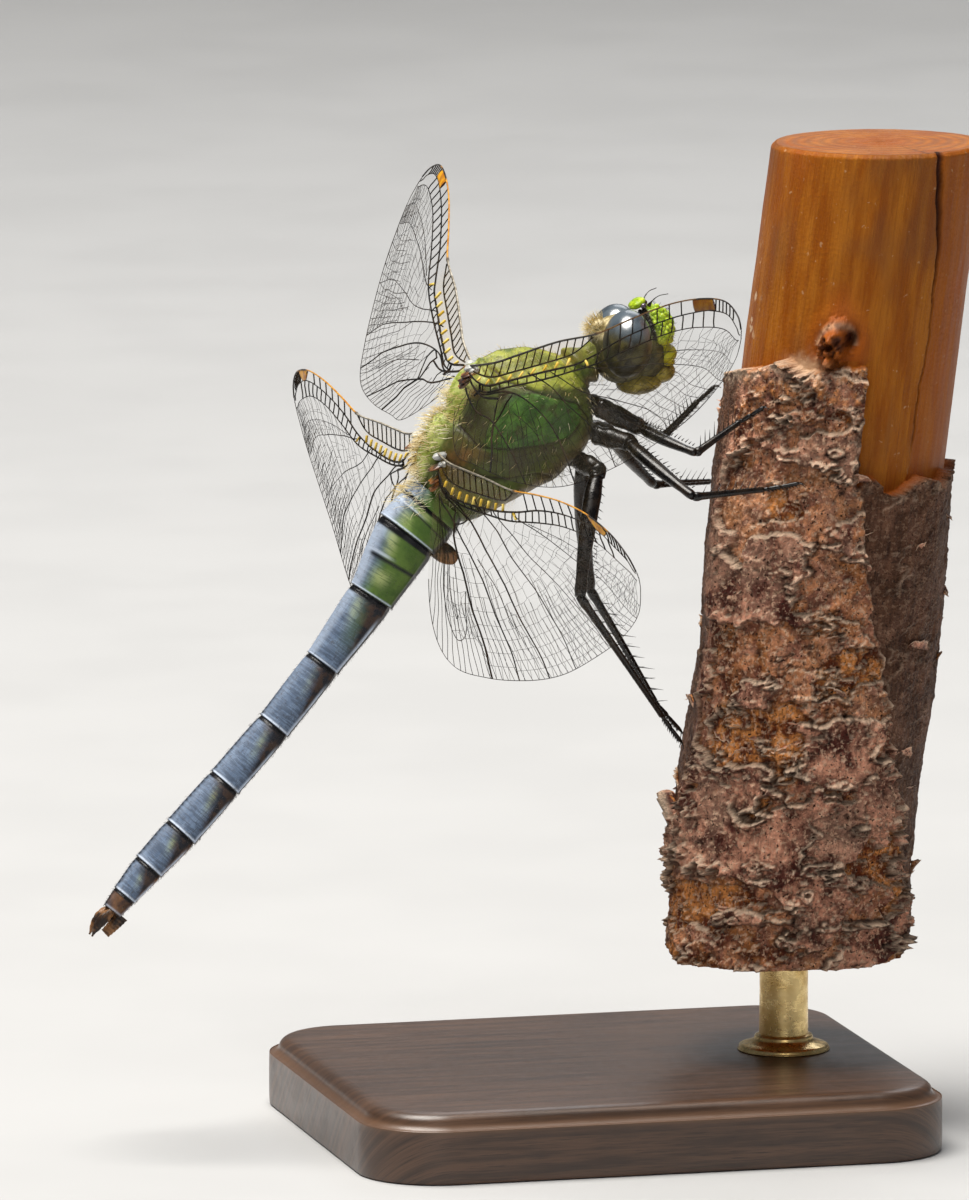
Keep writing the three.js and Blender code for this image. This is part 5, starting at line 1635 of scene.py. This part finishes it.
def make_head_hair():
    dice = np.random.default_rng(56)
    for name, (centre, radii, low, high, count, size, finish, stand, drift, thick) in HEAD_HAIR.items():
        ball = unit(dice.normal(0, 1, (count * 4, 3)))
        keep = (ball[:, 2] > low) & (ball[:, 2] < high)
        if name == "hair_face":
            keep &= ball[:, 0] > -0.1
        if name in ("hair_neck", "hair_occiput"):
            keep &= ball[:, 0] < 0.2
        ball = ball[keep][:count]
        roots = np.array(centre) + ball * np.array(radii)
        outward = unit(ball / np.array(radii))
        flow = outward * stand + dice.normal(0, 0.28, ball.shape) + np.array([drift, 0, 0.1])
        length = size * dice.uniform(0.5, 1.2, (len(ball), 1))
        tips = roots + unit(flow) * length
        bends = dice.normal(0, 0.05, ball.shape) * length @ body_axes(HEAD_PITCH)
        turn = np.arctan2(ball[:, 1], ball[:, 0]) / (2 * math.pi) + 0.5
        fall = np.arccos(np.clip(ball[:, 2], -1, 1)) / math.pi
        unwrap = np.clip(np.stack([turn, fall], 1), 0, 1)
        thickness = thick * dice.uniform(.7, 1.3, len(ball))
        tuft_mesh(name, from_head(roots), from_head(tips), bends, thickness, finish, unwrap)


# ---------- branch ----------
def branch_middle(height):
    """Where the branch's own middle line is at each height."""
    t = (height - BRANCH["bottom"]) / (BRANCH["top"] - BRANCH["bottom"])
    return BRANCH["foot_x"] + (BRANCH["top_x"] - BRANCH["foot_x"]) * t + BRANCH["bend"] * np.sin(np.pi * t)


def branch_point(angle, radius, height):
    """Angle 0 is toward the animal, a quarter turn is the animal's right."""
    return np.stack([branch_middle(height) - np.cos(angle) * radius, -np.sin(angle) * radius,
                     height + 0 * angle], -1)


def bark_edge(angle):
    """Height of the torn upper edge of the bark at each angle."""
    high = ramp(angle, -1.95, -1.80) * (1 - ramp(angle, 1.425, 1.475))
    tear = 0.34 * (1 - high) * np.sin(angle * 12.5 + 0.4) - 1.5 * (1 - ramp(angle, -0.7, 0.75)) * high
    return BRANCH["edge"] + 0.65 - BRANCH["drop"] * (1 - high) + tear


def torn_layer(field, limit, step):
    """Millimetres inside the torn border of a layer that lies where the field is over its limit."""
    down, across = np.gradient(field, *step)
    return (field - limit) / np.maximum(np.hypot(down, across), 0.12)


def bark_wave(angle, height):
    """The bark's slow swell and hollow around the branch."""
    return 0.16 * np.sin(3 * (angle - math.pi) + height * 0.35)


def make_branch():
    columns, rows = 530, 600
    angle = np.linspace(-math.pi, math.pi, columns, endpoint=False)
    height = np.linspace(BRANCH["bottom"], BRANCH["top"], rows)
    step = (height[1] - height[0], (angle[1] - angle[0]) * 6)
    a, h = np.meshgrid(angle, height)
    run = np.stack([np.cos(a) * 6, np.sin(a) * 6, h], -1).reshape(-1, 3)

    def cloud(scale, octaves, seed):
        return layered_noise(run * np.array(scale), octaves, seed).reshape(a.shape)

    tear = cloud((.8, .8, .9), 5, 61)
    crumbs = cloud((2.6, 2.6, 2.6), 4, 64)
    edge = bark_edge(a) + 0.5 * tear + 0.30 * crumbs
    barked = ramp(edge - h, -0.035, 0.035)

    # Bark: papery layers, each torn away in places and curled at its lip.
    high = ramp(h, 24, 36)
    sheet_end = 1.45 + 0.045 * np.maximum(33 - h, 0) + 0.10 * tear + 0.05 * crumbs
    start = 0.05 - 0.55 * (1 - ramp(h, 13, 20)) + 0.12 * tear
    behind = ramp(np.abs((a - 1.318 + math.pi) % (2 * math.pi) - math.pi), 1.7, 2.2)
    calm = 0.12 + 0.88 * ramp(a, start, start + 0.35) * (1 - ramp(a, sheet_end - 0.03, sheet_end + 0.03))
    calm = np.maximum(calm, 0.6 * behind)
    outer_layer = torn_layer(cloud((.27, .27, .40), 6, 62) + 0.10 * (1 - calm) + 0.10 * high, 0.0, step)
    middle_layer = torn_layer(cloud((.20, .20, .34), 6, 72) + 0.25 * (1 - calm), -0.20, step)
    patch_layer = torn_layer(cloud((.55, .55, 1.15), 5, 83) - 0.22 * high - 0.2 * (1 - calm), 0.22, step)
    curl = ramp(cloud((.9, .9, .9), 2, 84), -0.25, 0.45)
    scales = cloud((3.6, 3.6, 2.6), 4, 85)
    grit = cloud((8.0, 8.0, 6.5), 2, 89)
    grooves = cloud((4.2, 4.2, 0.35), 3, 91)
    coarse = cloud((.30, .30, .16), 3, 93)
    relief = 0.26 * coarse + (0.24 * scales + 0.10 * grit) * (0.15 + 0.85 * calm) + 0.05 * grooves
    relief = relief + 0.16 * (1 - ramp(a, sheet_end - 0.02, sheet_end + 0.02)) * (a > 0)
    relief = relief + 0.12 * bump_at(a, sheet_end - 0.03, 0.02) * (h < 34)
    # Beside each torn border: the pale lip, and painted shade in the gap just outside it.
    lips_and_lit_slopes, gap_and_slope_shade = np.zeros_like(a), np.zeros_like(a)
    for inside, thick, lift in ((middle_layer, .20, .16), (outer_layer, .30, .40), (patch_layer, .14, .26)):
        strength = 0.1 + 0.9 * calm
        relief = relief + strength * (thick * ramp(inside, -0.05, 0.05)
            + lift * curl * bump_at(inside, 0.12, 0.11))
        lips_and_lit_slopes = np.maximum(lips_and_lit_slopes, bump_at(inside, 0.05, 0.05) * ramp(curl + 0.5 * scales, 0.25, 0.95)
                          * strength)
        gap_and_slope_shade = np.maximum(gap_and_slope_shade, bump_at(inside, -0.08, 0.09) * (0.35 + 0.65 * curl) * strength)
    rim = bump_at(edge - h, 0.10, 0.10)
    bark_radius = BRANCH["bark"] - 0.33 + bark_wave(a, h) + relief + 0.12 * rim
    # Up-facing slopes take the pale lip colour and down-facing slopes the dark: painted light and painted
    # shade.
    slope = np.gradient(bark_radius, step[0], axis=0)
    lips_and_lit_slopes = np.maximum(lips_and_lit_slopes, 0.75 * ramp(-slope, 0.45, 1.3) * calm)
    gap_and_slope_shade = np.maximum(gap_and_slope_shade, 0.8 * ramp(slope, 0.5, 1.4) * calm)

    # Bare wood: nearly smooth, with one long crack and a broken stub at the edge of the bark.
    fibre = cloud((3.2, 3.2, 0.14), 3, 69)
    wave = cloud((.4, .4, .2), 3, 70)
    crack_at = 1.987 + 0.0087 * (h - 33.3) - 0.0052 * np.maximum(h - 40, 0) ** 1.7
    crack_at = crack_at + 0.008 * np.sin(h * 1.3) + 0.005 * np.sin(h * 4.1)
    open_crack = 0.010 + 0.032 * ramp(h, 40.5, 48.5)
    crack = np.exp(-((a - crack_at) / open_crack) ** 4) * ramp(h, 34.0, 37.0)
    step_down = ramp(a, crack_at, crack_at + 0.05) * (1 - ramp(a, 2.6, 3.0))
    wood_radius = BRANCH["wood"] + 0.03 * fibre + 0.10 * wave - 0.42 * crack - 0.10 * step_down
    stub_at, stub_height = 1.13, 40.0
    sideways, upward = (a - stub_at) * 5.6, h - stub_height
    away = np.hypot(sideways, upward / 1.15)
    reach = np.hypot(sideways + 0.15 + 0.3 * crumbs, (upward - 0.1) * 0.62 + 0.3 * scales)
    stub = np.exp(-(reach / 0.70) ** 6)
    hollow = bump_at(np.hypot(sideways - 0.66, (upward - 0.35) * 0.8), 0.0, 0.36)
    wood_radius = wood_radius + (1.35 + 0.8 * scales + 0.4 * crumbs) * stub
    wood_radius = wood_radius - 0.6 * hollow + 0.15 * bump_at(away, 1.3, 0.5)
    radius = wood_radius + (bark_radius - wood_radius) * barked
    cut = ramp(h, BRANCH["bottom"], BRANCH["bottom"] + 0.25)
    cut = cut * (1 - ramp(h, BRANCH["top"] - 0.2, BRANCH["top"]))
    radius = radius - 0.16 * (1 - cut)
    rings = branch_point(a, radius, h)

    # Where each colour lies.
    # A triangle above the stub, made darker through the stain mask: painted shade.
    shade_above_stub_width = 0.30 + 0.75 * (1 - ramp(upward, 0, 2.6))
    shade_above_stub = bump_at(sideways - 0.1, 0.0, shade_above_stub_width) * ramp(upward, -0.6, 0.4)
    shade_above_stub = shade_above_stub * (1 - ramp(upward, 1.2, 2.9))
    copper = 0.75 * (1 - ramp(edge - h, 0.8, 5.0)) * ramp(scales + 0.5 * crumbs, -0.35, 0.25)
    scraps = ramp(cloud((2.2, 2.2, 2.6), 3, 95), 0.34, 0.42) * bump_at(a, -0.02, 0.13)
    scraps = scraps * ramp(h, 39, 40) * (1 - ramp(h, 43.5, 45))
    torn_rim = ((0.8 - 0.6 * ramp(a, 1.45, 1.5)) * bump_at(edge - h, 0.15, 0.5)
                * ramp(crumbs + 0.4 * bump_at(a, 0.5, 0.5), 0.0, 0.5))
    bared = (1 - ramp(outer_layer, -0.05, 0.05)) * (1 - 0.55 * ramp(middle_layer, -0.05, 0.05))
    bared = np.maximum(bared, 0.6 * bump_at(edge - h, 0.0, 0.2) + copper) * (0.3 + 0.7 * calm)
    warm = 0.55 * bump_at(away, 0.9, 0.7) * (upward > -0.8) + 0.40 * ramp(-wave, 0.1, 0.6)
    warm = warm + 0.45 * ramp(a, crack_at, crack_at + 0.03)
    warm = warm + bump_at(h - edge, 0.05, 0.16) * ramp(a, 1.45, 1.5)
    # The stub's upper rim is painted pale, a painted highlight on its top; the rest is pale scraps and a
    # pale patch of wood above the bark edge.
    bleached = scraps + 0.5 * bump_at(away, 0.95, 0.14) * (upward > 0)
    bleached = bleached + bump_at(h - edge, 0.2, 0.35) * bump_at(a, 0.88, 0.18)
    masks = dict(
        along=h, around=(a / (2 * math.pi) * 36), calm=1 - calm, barked=barked, raw=bared,
        lip=np.maximum(lips_and_lit_slopes, torn_rim),
        # Painted shade: the gaps by torn borders, down-facing slopes and low spots.
        crevice=np.clip(0.85 * gap_and_slope_shade + 0.35 * ramp(-scales, 0.25, 0.6), 0, 1),
        stain=np.clip(0.6 * ramp(wave, 0.05, 0.55) + 0.35 * ramp(fibre, 0.2, 0.7) + 0.75 * shade_above_stub, 0, 1),
        warm=np.clip(warm, 0, 1),
        # The wood's dark mask is painted shade in the crack, the hollow and the stub's low spots.
        wood_crevice=np.clip(crack * 1.2 + 0.95 * hollow + 0.85 * stub * ramp(-scales, -0.35, 0.15), 0, 1),
        bleached=np.clip(bleached, 0, 1),
    )
    # Both cut ends show their growth rings.
    shares = np.linspace(0.98, 0.05, 40)[:, None]
    ends, end_values = [], []
    for row, sign in ((0, -1), (-1, 1)):
        middle = rings[row].mean(0)
        face = middle + (rings[row] - middle)[None] * shares[..., None]
        face[..., 2] += sign * 0.03 * (1 - shares ** 2) + 0.012 * np.sin(shares * 40)
        growth = 0.5 + 0.5 * np.sin(shares * BRANCH["wood"] * 9 + 0.5 * np.sin(a[row] * 3))
        # The crack on the cut end is only a dark line: painted shade.
        crack_line_shade = 0.8 * bump_at(a[row] - 1.78, 0, 0.006 + 0.012 * shares) * (shares > 0.35)
        values = {key: np.zeros(growth.shape) for key in masks}
        values["along"] += shares * 3 * BRANCH["wood"]
        values["around"] += masks["around"][row] * 0.3
        values["stain"] += 0.65 * growth
        values["warm"] += 0.5 * bump_at(shares, 0.1, 0.25)
        values["raw"] += 0.7
        if row == 0:
            values["barked"] += shares > 0.86
        else:
            values["wood_crevice"] += crack_line_shade
        turn = slice(None, None, -1) if row == 0 else slice(None)
        ends.append(face[turn])
        end_values.append({key: value[turn] for key, value in values.items()})
    rings = np.concatenate([ends[0], rings, ends[1]])
    first, last = end_values
    masks = {key: np.concatenate([first[key], value, last[key]]).ravel() for key, value in masks.items()}
    make_piece("branch_skin", ring_stack(rings), "branch", ["perch_branch"], end_masks(masks, rings))
    make_peels()


# Angle, height, breadth, length, how far it stands off, and whether it hangs from above (1) or below (-1).
LARGE_PEELS = [
    (-0.30, 15.6, 2.3, 1.5, 0.9, 1.5), (-0.1, 21.3, 1.1, 0.8, 0.55, 1.0), (0.35, 34.2, 0.9, 1.4, 0.4, 1.2),
    (1.05, 20.2, 1.3, 0.6, 0.5, -1.0),
]


def make_peels():
    """Thin sheets of bark that have come away and curled outward."""
    dice = np.random.default_rng(71)
    sheets, keep = [], {key: [] for key in ("along", "around", "lip", "raw", "crevice")}
    plans = LARGE_PEELS + [None] * 210
    for plan in plans:
        if plan is None:
            at, up = dice.uniform(-math.pi, math.pi), dice.uniform(BRANCH["bottom"] + 1.0, 37.5)
            if dice.uniform() < 0.45:
                at = dice.normal(0.95, 0.5)
            wide, tall = dice.uniform(0.3, 1.25), dice.uniform(0.16, 0.5)
            rise, way = dice.uniform(0.10, 0.34), dice.choice([-1.0, 1.0], p=[0.4, 0.6])
        else:
            at, up, wide, tall, rise, way = plan
        if up > float(bark_edge(np.array(at))) - 0.9:
            continue
        n, m = 25, 11
        s, t = np.meshgrid(np.linspace(-1, 1, n), np.linspace(0, 1, m), indexing="ij")
        own = dice.uniform(0, 90)
        places = np.stack([s * 2.4 * wide + own, s * 0, s * 0 + own], -1).reshape(-1, 3)
        ragged = layered_noise(places, 4, 72).reshape(s.shape)
        reach = np.clip(1 - s ** 2, 0.0, 1) ** 0.35 * (1 + 0.75 * ragged)
        sideways, upright = s * wide + 0.12 * wide * t * ragged, way * (t * tall * reach)
        turn = dice.uniform(-0.35, 0.35)
        cos, sin = math.cos(turn), math.sin(turn)
        sideways, upright = sideways * cos - upright * sin, sideways * sin + upright * cos
        proud = rise * (t ** 1.7) * (0.65 + 0.6 * ragged) * reach + 0.05 * np.sin(s * 4 + own) * t
        base = BRANCH["bark"] - 0.24 + bark_wave(at, up)
        upright = upright - way * tall * 0.35 * t * t * (rise / 0.34)
        angle, radius = at + sideways / base, base + proud
        outside = branch_point(angle, radius, up + upright)
        inside = branch_point(angle, radius - 0.035 - 0.07 * (1 - t), up + upright - way * 0.015)
        order = slice(None) if way < 0 else slice(None, None, -1)
        ring = np.concatenate([outside, inside[:, ::-1]], axis=1)[order]
        sheets.append(ring_stack(ring))
        under = np.concatenate([np.zeros((n, m)), np.ones((n, m))], axis=1)[order]
        free = np.concatenate([t, t[:, ::-1]], axis=1)[order]
        tone = dice.uniform(0, 1)
        # Near each peel's root the colour darkens: painted shade under the peel.
        values = dict(along=ring[..., 2], around=np.zeros_like(free) + at * 6,
                      lip=ramp(free, 0.62, 0.95) * (0.35 + 0.6 * tone),
                      raw=under * 0.9, crevice=0.5 * (1 - ramp(free, 0.0, 0.25)))
        for key in keep:
            flat = values[key].ravel()
            keep[key].append(np.concatenate([flat, [flat[:2 * m].mean(), flat[-2 * m:].mean()]]))
    masks = {key: np.concatenate(value) for key, value in keep.items()}
    none = np.zeros(len(masks["lip"]))
    masks.update(barked=none + 1, stain=none, warm=none, wood_crevice=none, bleached=none, calm=none)
    make_piece("branch_peels", joined(sheets), "branch", (), masks)


# ---------- stand ----------
def make_board():
    """A flat board with rounded corners and a moulded upper edge."""
    length, width = STAND["length"] / 2, STAND["width"] / 2
    thick, corner = STAND["thickness"], STAND["corner"]
    per = 28
    rings, edge = [], []
    # How far inside the outline, and at what height.
    moulding = [(0.30, 0.0), (0.12, 0.08), (0.0, 0.3), (0.0, thick - 1.0), (0.06, thick - 0.85),
                (0.25, thick - 0.78), (0.42, thick - 0.6), (0.55, thick - 0.3), (0.78, thick - 0.1),
                (1.1, thick - 0.02), (1.5, thick)]
    profile = np.vstack([smooth_line(moulding, 60), [[inset, thick] for inset in (3.0, 6.0, 9.0, 11.5)]])
    for inset, z in profile:
        line = []
        r = max(corner - inset * 0.8, 0.4)
        for sx, sy, start in ((1, -1, -90), (1, 1, 0), (-1, 1, 90), (-1, -1, 180)):
            for k in range(per):
                turn = math.radians(start + 90 * k / (per - 1))
                x = sx * (length - inset - r) + r * math.cos(turn)
                y = sy * (width - inset - r) + r * math.sin(turn)
                line.append((x, y, z))
        rings.append(line)
        edge.append(np.full(4 * per, 0.7 * bump_at(z, thick - 0.7, 0.22)))
    rings = np.array(rings)
    x, y, z = np.moveaxis(rings, -1, 0)
    masks = dict(along=x.ravel(), around=(y + z).ravel(), edge=np.concatenate(edge))
    make_piece("stand_board", ring_stack(rings), "board", ["stand_base"], end_masks(masks, rings))


def make_stand():
    make_board()
    r = STAND["rod"]
    pin = [(r * .98, 3.4), (r * 1.0, 3.7), (r, 4.0), (r * .98, 6.0), (r * .98, 8.0), (r * .98, 9.5)]
    collar = [(r + .05, 3.46), (r + 1.0, 3.5), (r + 1.05, 3.62), (r + .95, 3.78), (r + .55, 3.9),
              (r + .28, 4.05),
              (r + .2, 4.25), (r - .05, 4.35)]
    for name, line, rows in (("stand_pin", pin, 60), ("stand_collar", collar, 50)):
        fine = smooth_line(line, rows)
        turn = circle(64)
        radius, height = fine[:, :1], fine[:, 1:] + 0 * turn
        rings = np.stack([BRANCH["foot_x"] + radius * np.cos(turn), radius * np.sin(turn), height], -1)
        masks = dict(along=height.ravel(), around=(turn + 0 * radius).ravel())
        replaced = ["stand_rod"] if name == "stand_pin" else ()
        make_piece(name, ring_stack(rings), "brass", replaced, end_masks(masks, rings))


# ---------- the setting ----------
def make_backdrop():
    """A pale floor that sweeps up behind: half its length lies flat, then it bends upward."""
    rows, columns = 60, 30
    length, near, half_width = 3600, -1000, 1700
    run = np.linspace(0, 1, rows)
    turn = np.clip((run - 0.5) / 0.15, 0, 1) * math.pi / 2
    step = np.diff(run, prepend=0) * length
    y = near + np.cumsum(np.cos(turn) * step)
    z = np.cumsum(np.sin(turn) * step)
    x = np.linspace(-half_width, half_width, columns)
    points = np.stack([np.tile(x, rows), np.repeat(y, columns), np.repeat(z, columns)], 1)
    mesh = make_mesh("studio_floor", points, grid_quads(rows, columns))
    mesh.materials.append(finish_backdrop())
    floor = bpy.data.objects.new("studio_floor", mesh)
    bpy.context.scene.collection.objects.link(floor)


CAMERA = dict(
    right=(0.96815, -0.25038, 0.0), up=(0.03917, 0.15145, 0.98769), back=(-0.24730, -0.95623, 0.15643),
    target=(-6.162, 0.0, 27.075), away=700.0, lens=420.0)
LIT_POINT = (0, 0, 30)


def make_light(name, place, size, power, colour):
    """A round lamp facing the body; its size is in millimetres, its power in watts."""
    lamp = bpy.data.lights.new(name, "AREA")
    lamp.shape, lamp.size, lamp.energy, lamp.color = "DISK", size * MM, power, colour
    lit = bpy.data.objects.new(name, lamp)
    lit.location = Vector(place) * MM
    lit.rotation_euler = (Vector(LIT_POINT) - Vector(place)).to_track_quat("-Z", "Y").to_euler()
    bpy.context.scene.collection.objects.link(lit)


def make_world():
    world = bpy.data.worlds.new("studio air")
    world.use_nodes = True
    air = world.node_tree.nodes["Background"]
    air.inputs["Color"].default_value = (0.90, 0.94, 1.0, 1.0)
    air.inputs["Strength"].default_value = 0.13
    bpy.context.scene.world = world


def make_camera():
    scene = bpy.context.scene
    data = bpy.data.cameras.new("camera")
    data.sensor_width, data.lens = 36.0, CAMERA["lens"]
    data.clip_start, data.clip_end = 0.05, 10.0
    camera = bpy.data.objects.new("camera", data)
    right, up, back = Vector(CAMERA["right"]), Vector(CAMERA["up"]), Vector(CAMERA["back"])
    turn = Matrix((right, up, back)).transposed().to_4x4()
    camera.matrix_world = Matrix.Translation((Vector(CAMERA["target"]) + back * CAMERA["away"]) * MM) @ turn
    scene.collection.objects.link(camera)
    scene.camera = camera


# The finish of each kind of piece, and the colour group it belongs to.
LOOKS = dict(
    eye=(finish_eye(), "eye_surface"),
    bead=(finish_horn("dark ocelli", (0.020, 0.010, 0.022), (0.09, 0.05, 0.10), 0.12, 2500, 0.8),
          "eye_surface"),
    head=(finish_shell(), "head_shell"),
    face=(finish_face(), "face_green"),
    lip=(finish_lip(), "mouth_yellow_brown"),
    thorax=(finish_thorax(), "thorax_green"),
    hinge=(finish_horn("orange-brown wing hinges",
                       (0.030, 0.012, 0.008), (0.42, 0.15, 0.03), 0.3, 1300, 0.4), "thorax_green"),
    knob=(finish_horn("grey wing knobs", (0.30, 0.31, 0.30), (0.62, 0.62, 0.58), 0.28, 1500, 0.5),
          "thorax_green"),
    abdomen=(finish_abdomen(), "abdomen_blue"),
    tail=(finish_horn("brown tail pieces", (0.022, 0.012, 0.008), (0.26, 0.12, 0.045), 0.38, 1500, 0.15),
          "tail_brown"),
    black=(finish_horn("black cuticle", (0.003, 0.002, 0.002), (0.016, 0.010, 0.006), 0.20, 1400, 0.22),
           "leg_black"),
    membrane=(finish_membrane(), "wing_membrane"),
    vein=(finish_horn("dark veins", (0.006, 0.005, 0.004), (0.030, 0.018, 0.009), 0.45, 900, 0.0),
          "wing_membrane"),
    # The yellow bars are a painted highlight of sunlit cross veins.
    ochre_glint=(finish_horn("yellow bars", (0.62, 0.40, 0.04), (0.95, 0.74, 0.20), 0.35, 700, 0.0),
           "wing_membrane"),
    costa=(finish_costa(), "wing_membrane"),
    stigma=(finish_stigma(), "wing_membrane"),
    fleece=(finish_hair("golden white hair", (0.72, 0.54, 0.20), (1.0, 0.92, 0.66)), None),
    bristle=(finish_hair("dark bristles", (0.015, 0.012, 0.010), (0.08, 0.06, 0.045)), None),
    branch=(finish_branch(), "branch_bark"),
    board=(finish_stand_wood(), "stand_wood"),
    brass=(finish_brass(), "stand_brass"),
)

make_head()
thorax_grid = make_thorax()
abdomen_grid = make_abdomen()
make_tail()
make_hinges([make_wing(wing) for wing in WINGS])
for leg in LEGS:
    make_leg(leg)
make_thorax_hair(thorax_grid)
make_abdomen_hair(abdomen_grid)
make_head_hair()
make_branch()
make_stand()

make_backdrop()
make_world()
make_light("key light", (-130, 10, 640), 460, 7.4, (1.0, 0.96, 0.90))
make_light("camera side light", (-120, -600, 170), 260, 0.30, (1.0, 1.0, 1.0))
make_light("far side light", (160, 360, 320), 260, 0.30, (0.95, 0.97, 1.0))
make_camera()
scene = bpy.context.scene
scene.cycles.transparent_max_bounces = 32
scene.view_settings.view_transform = "Standard"
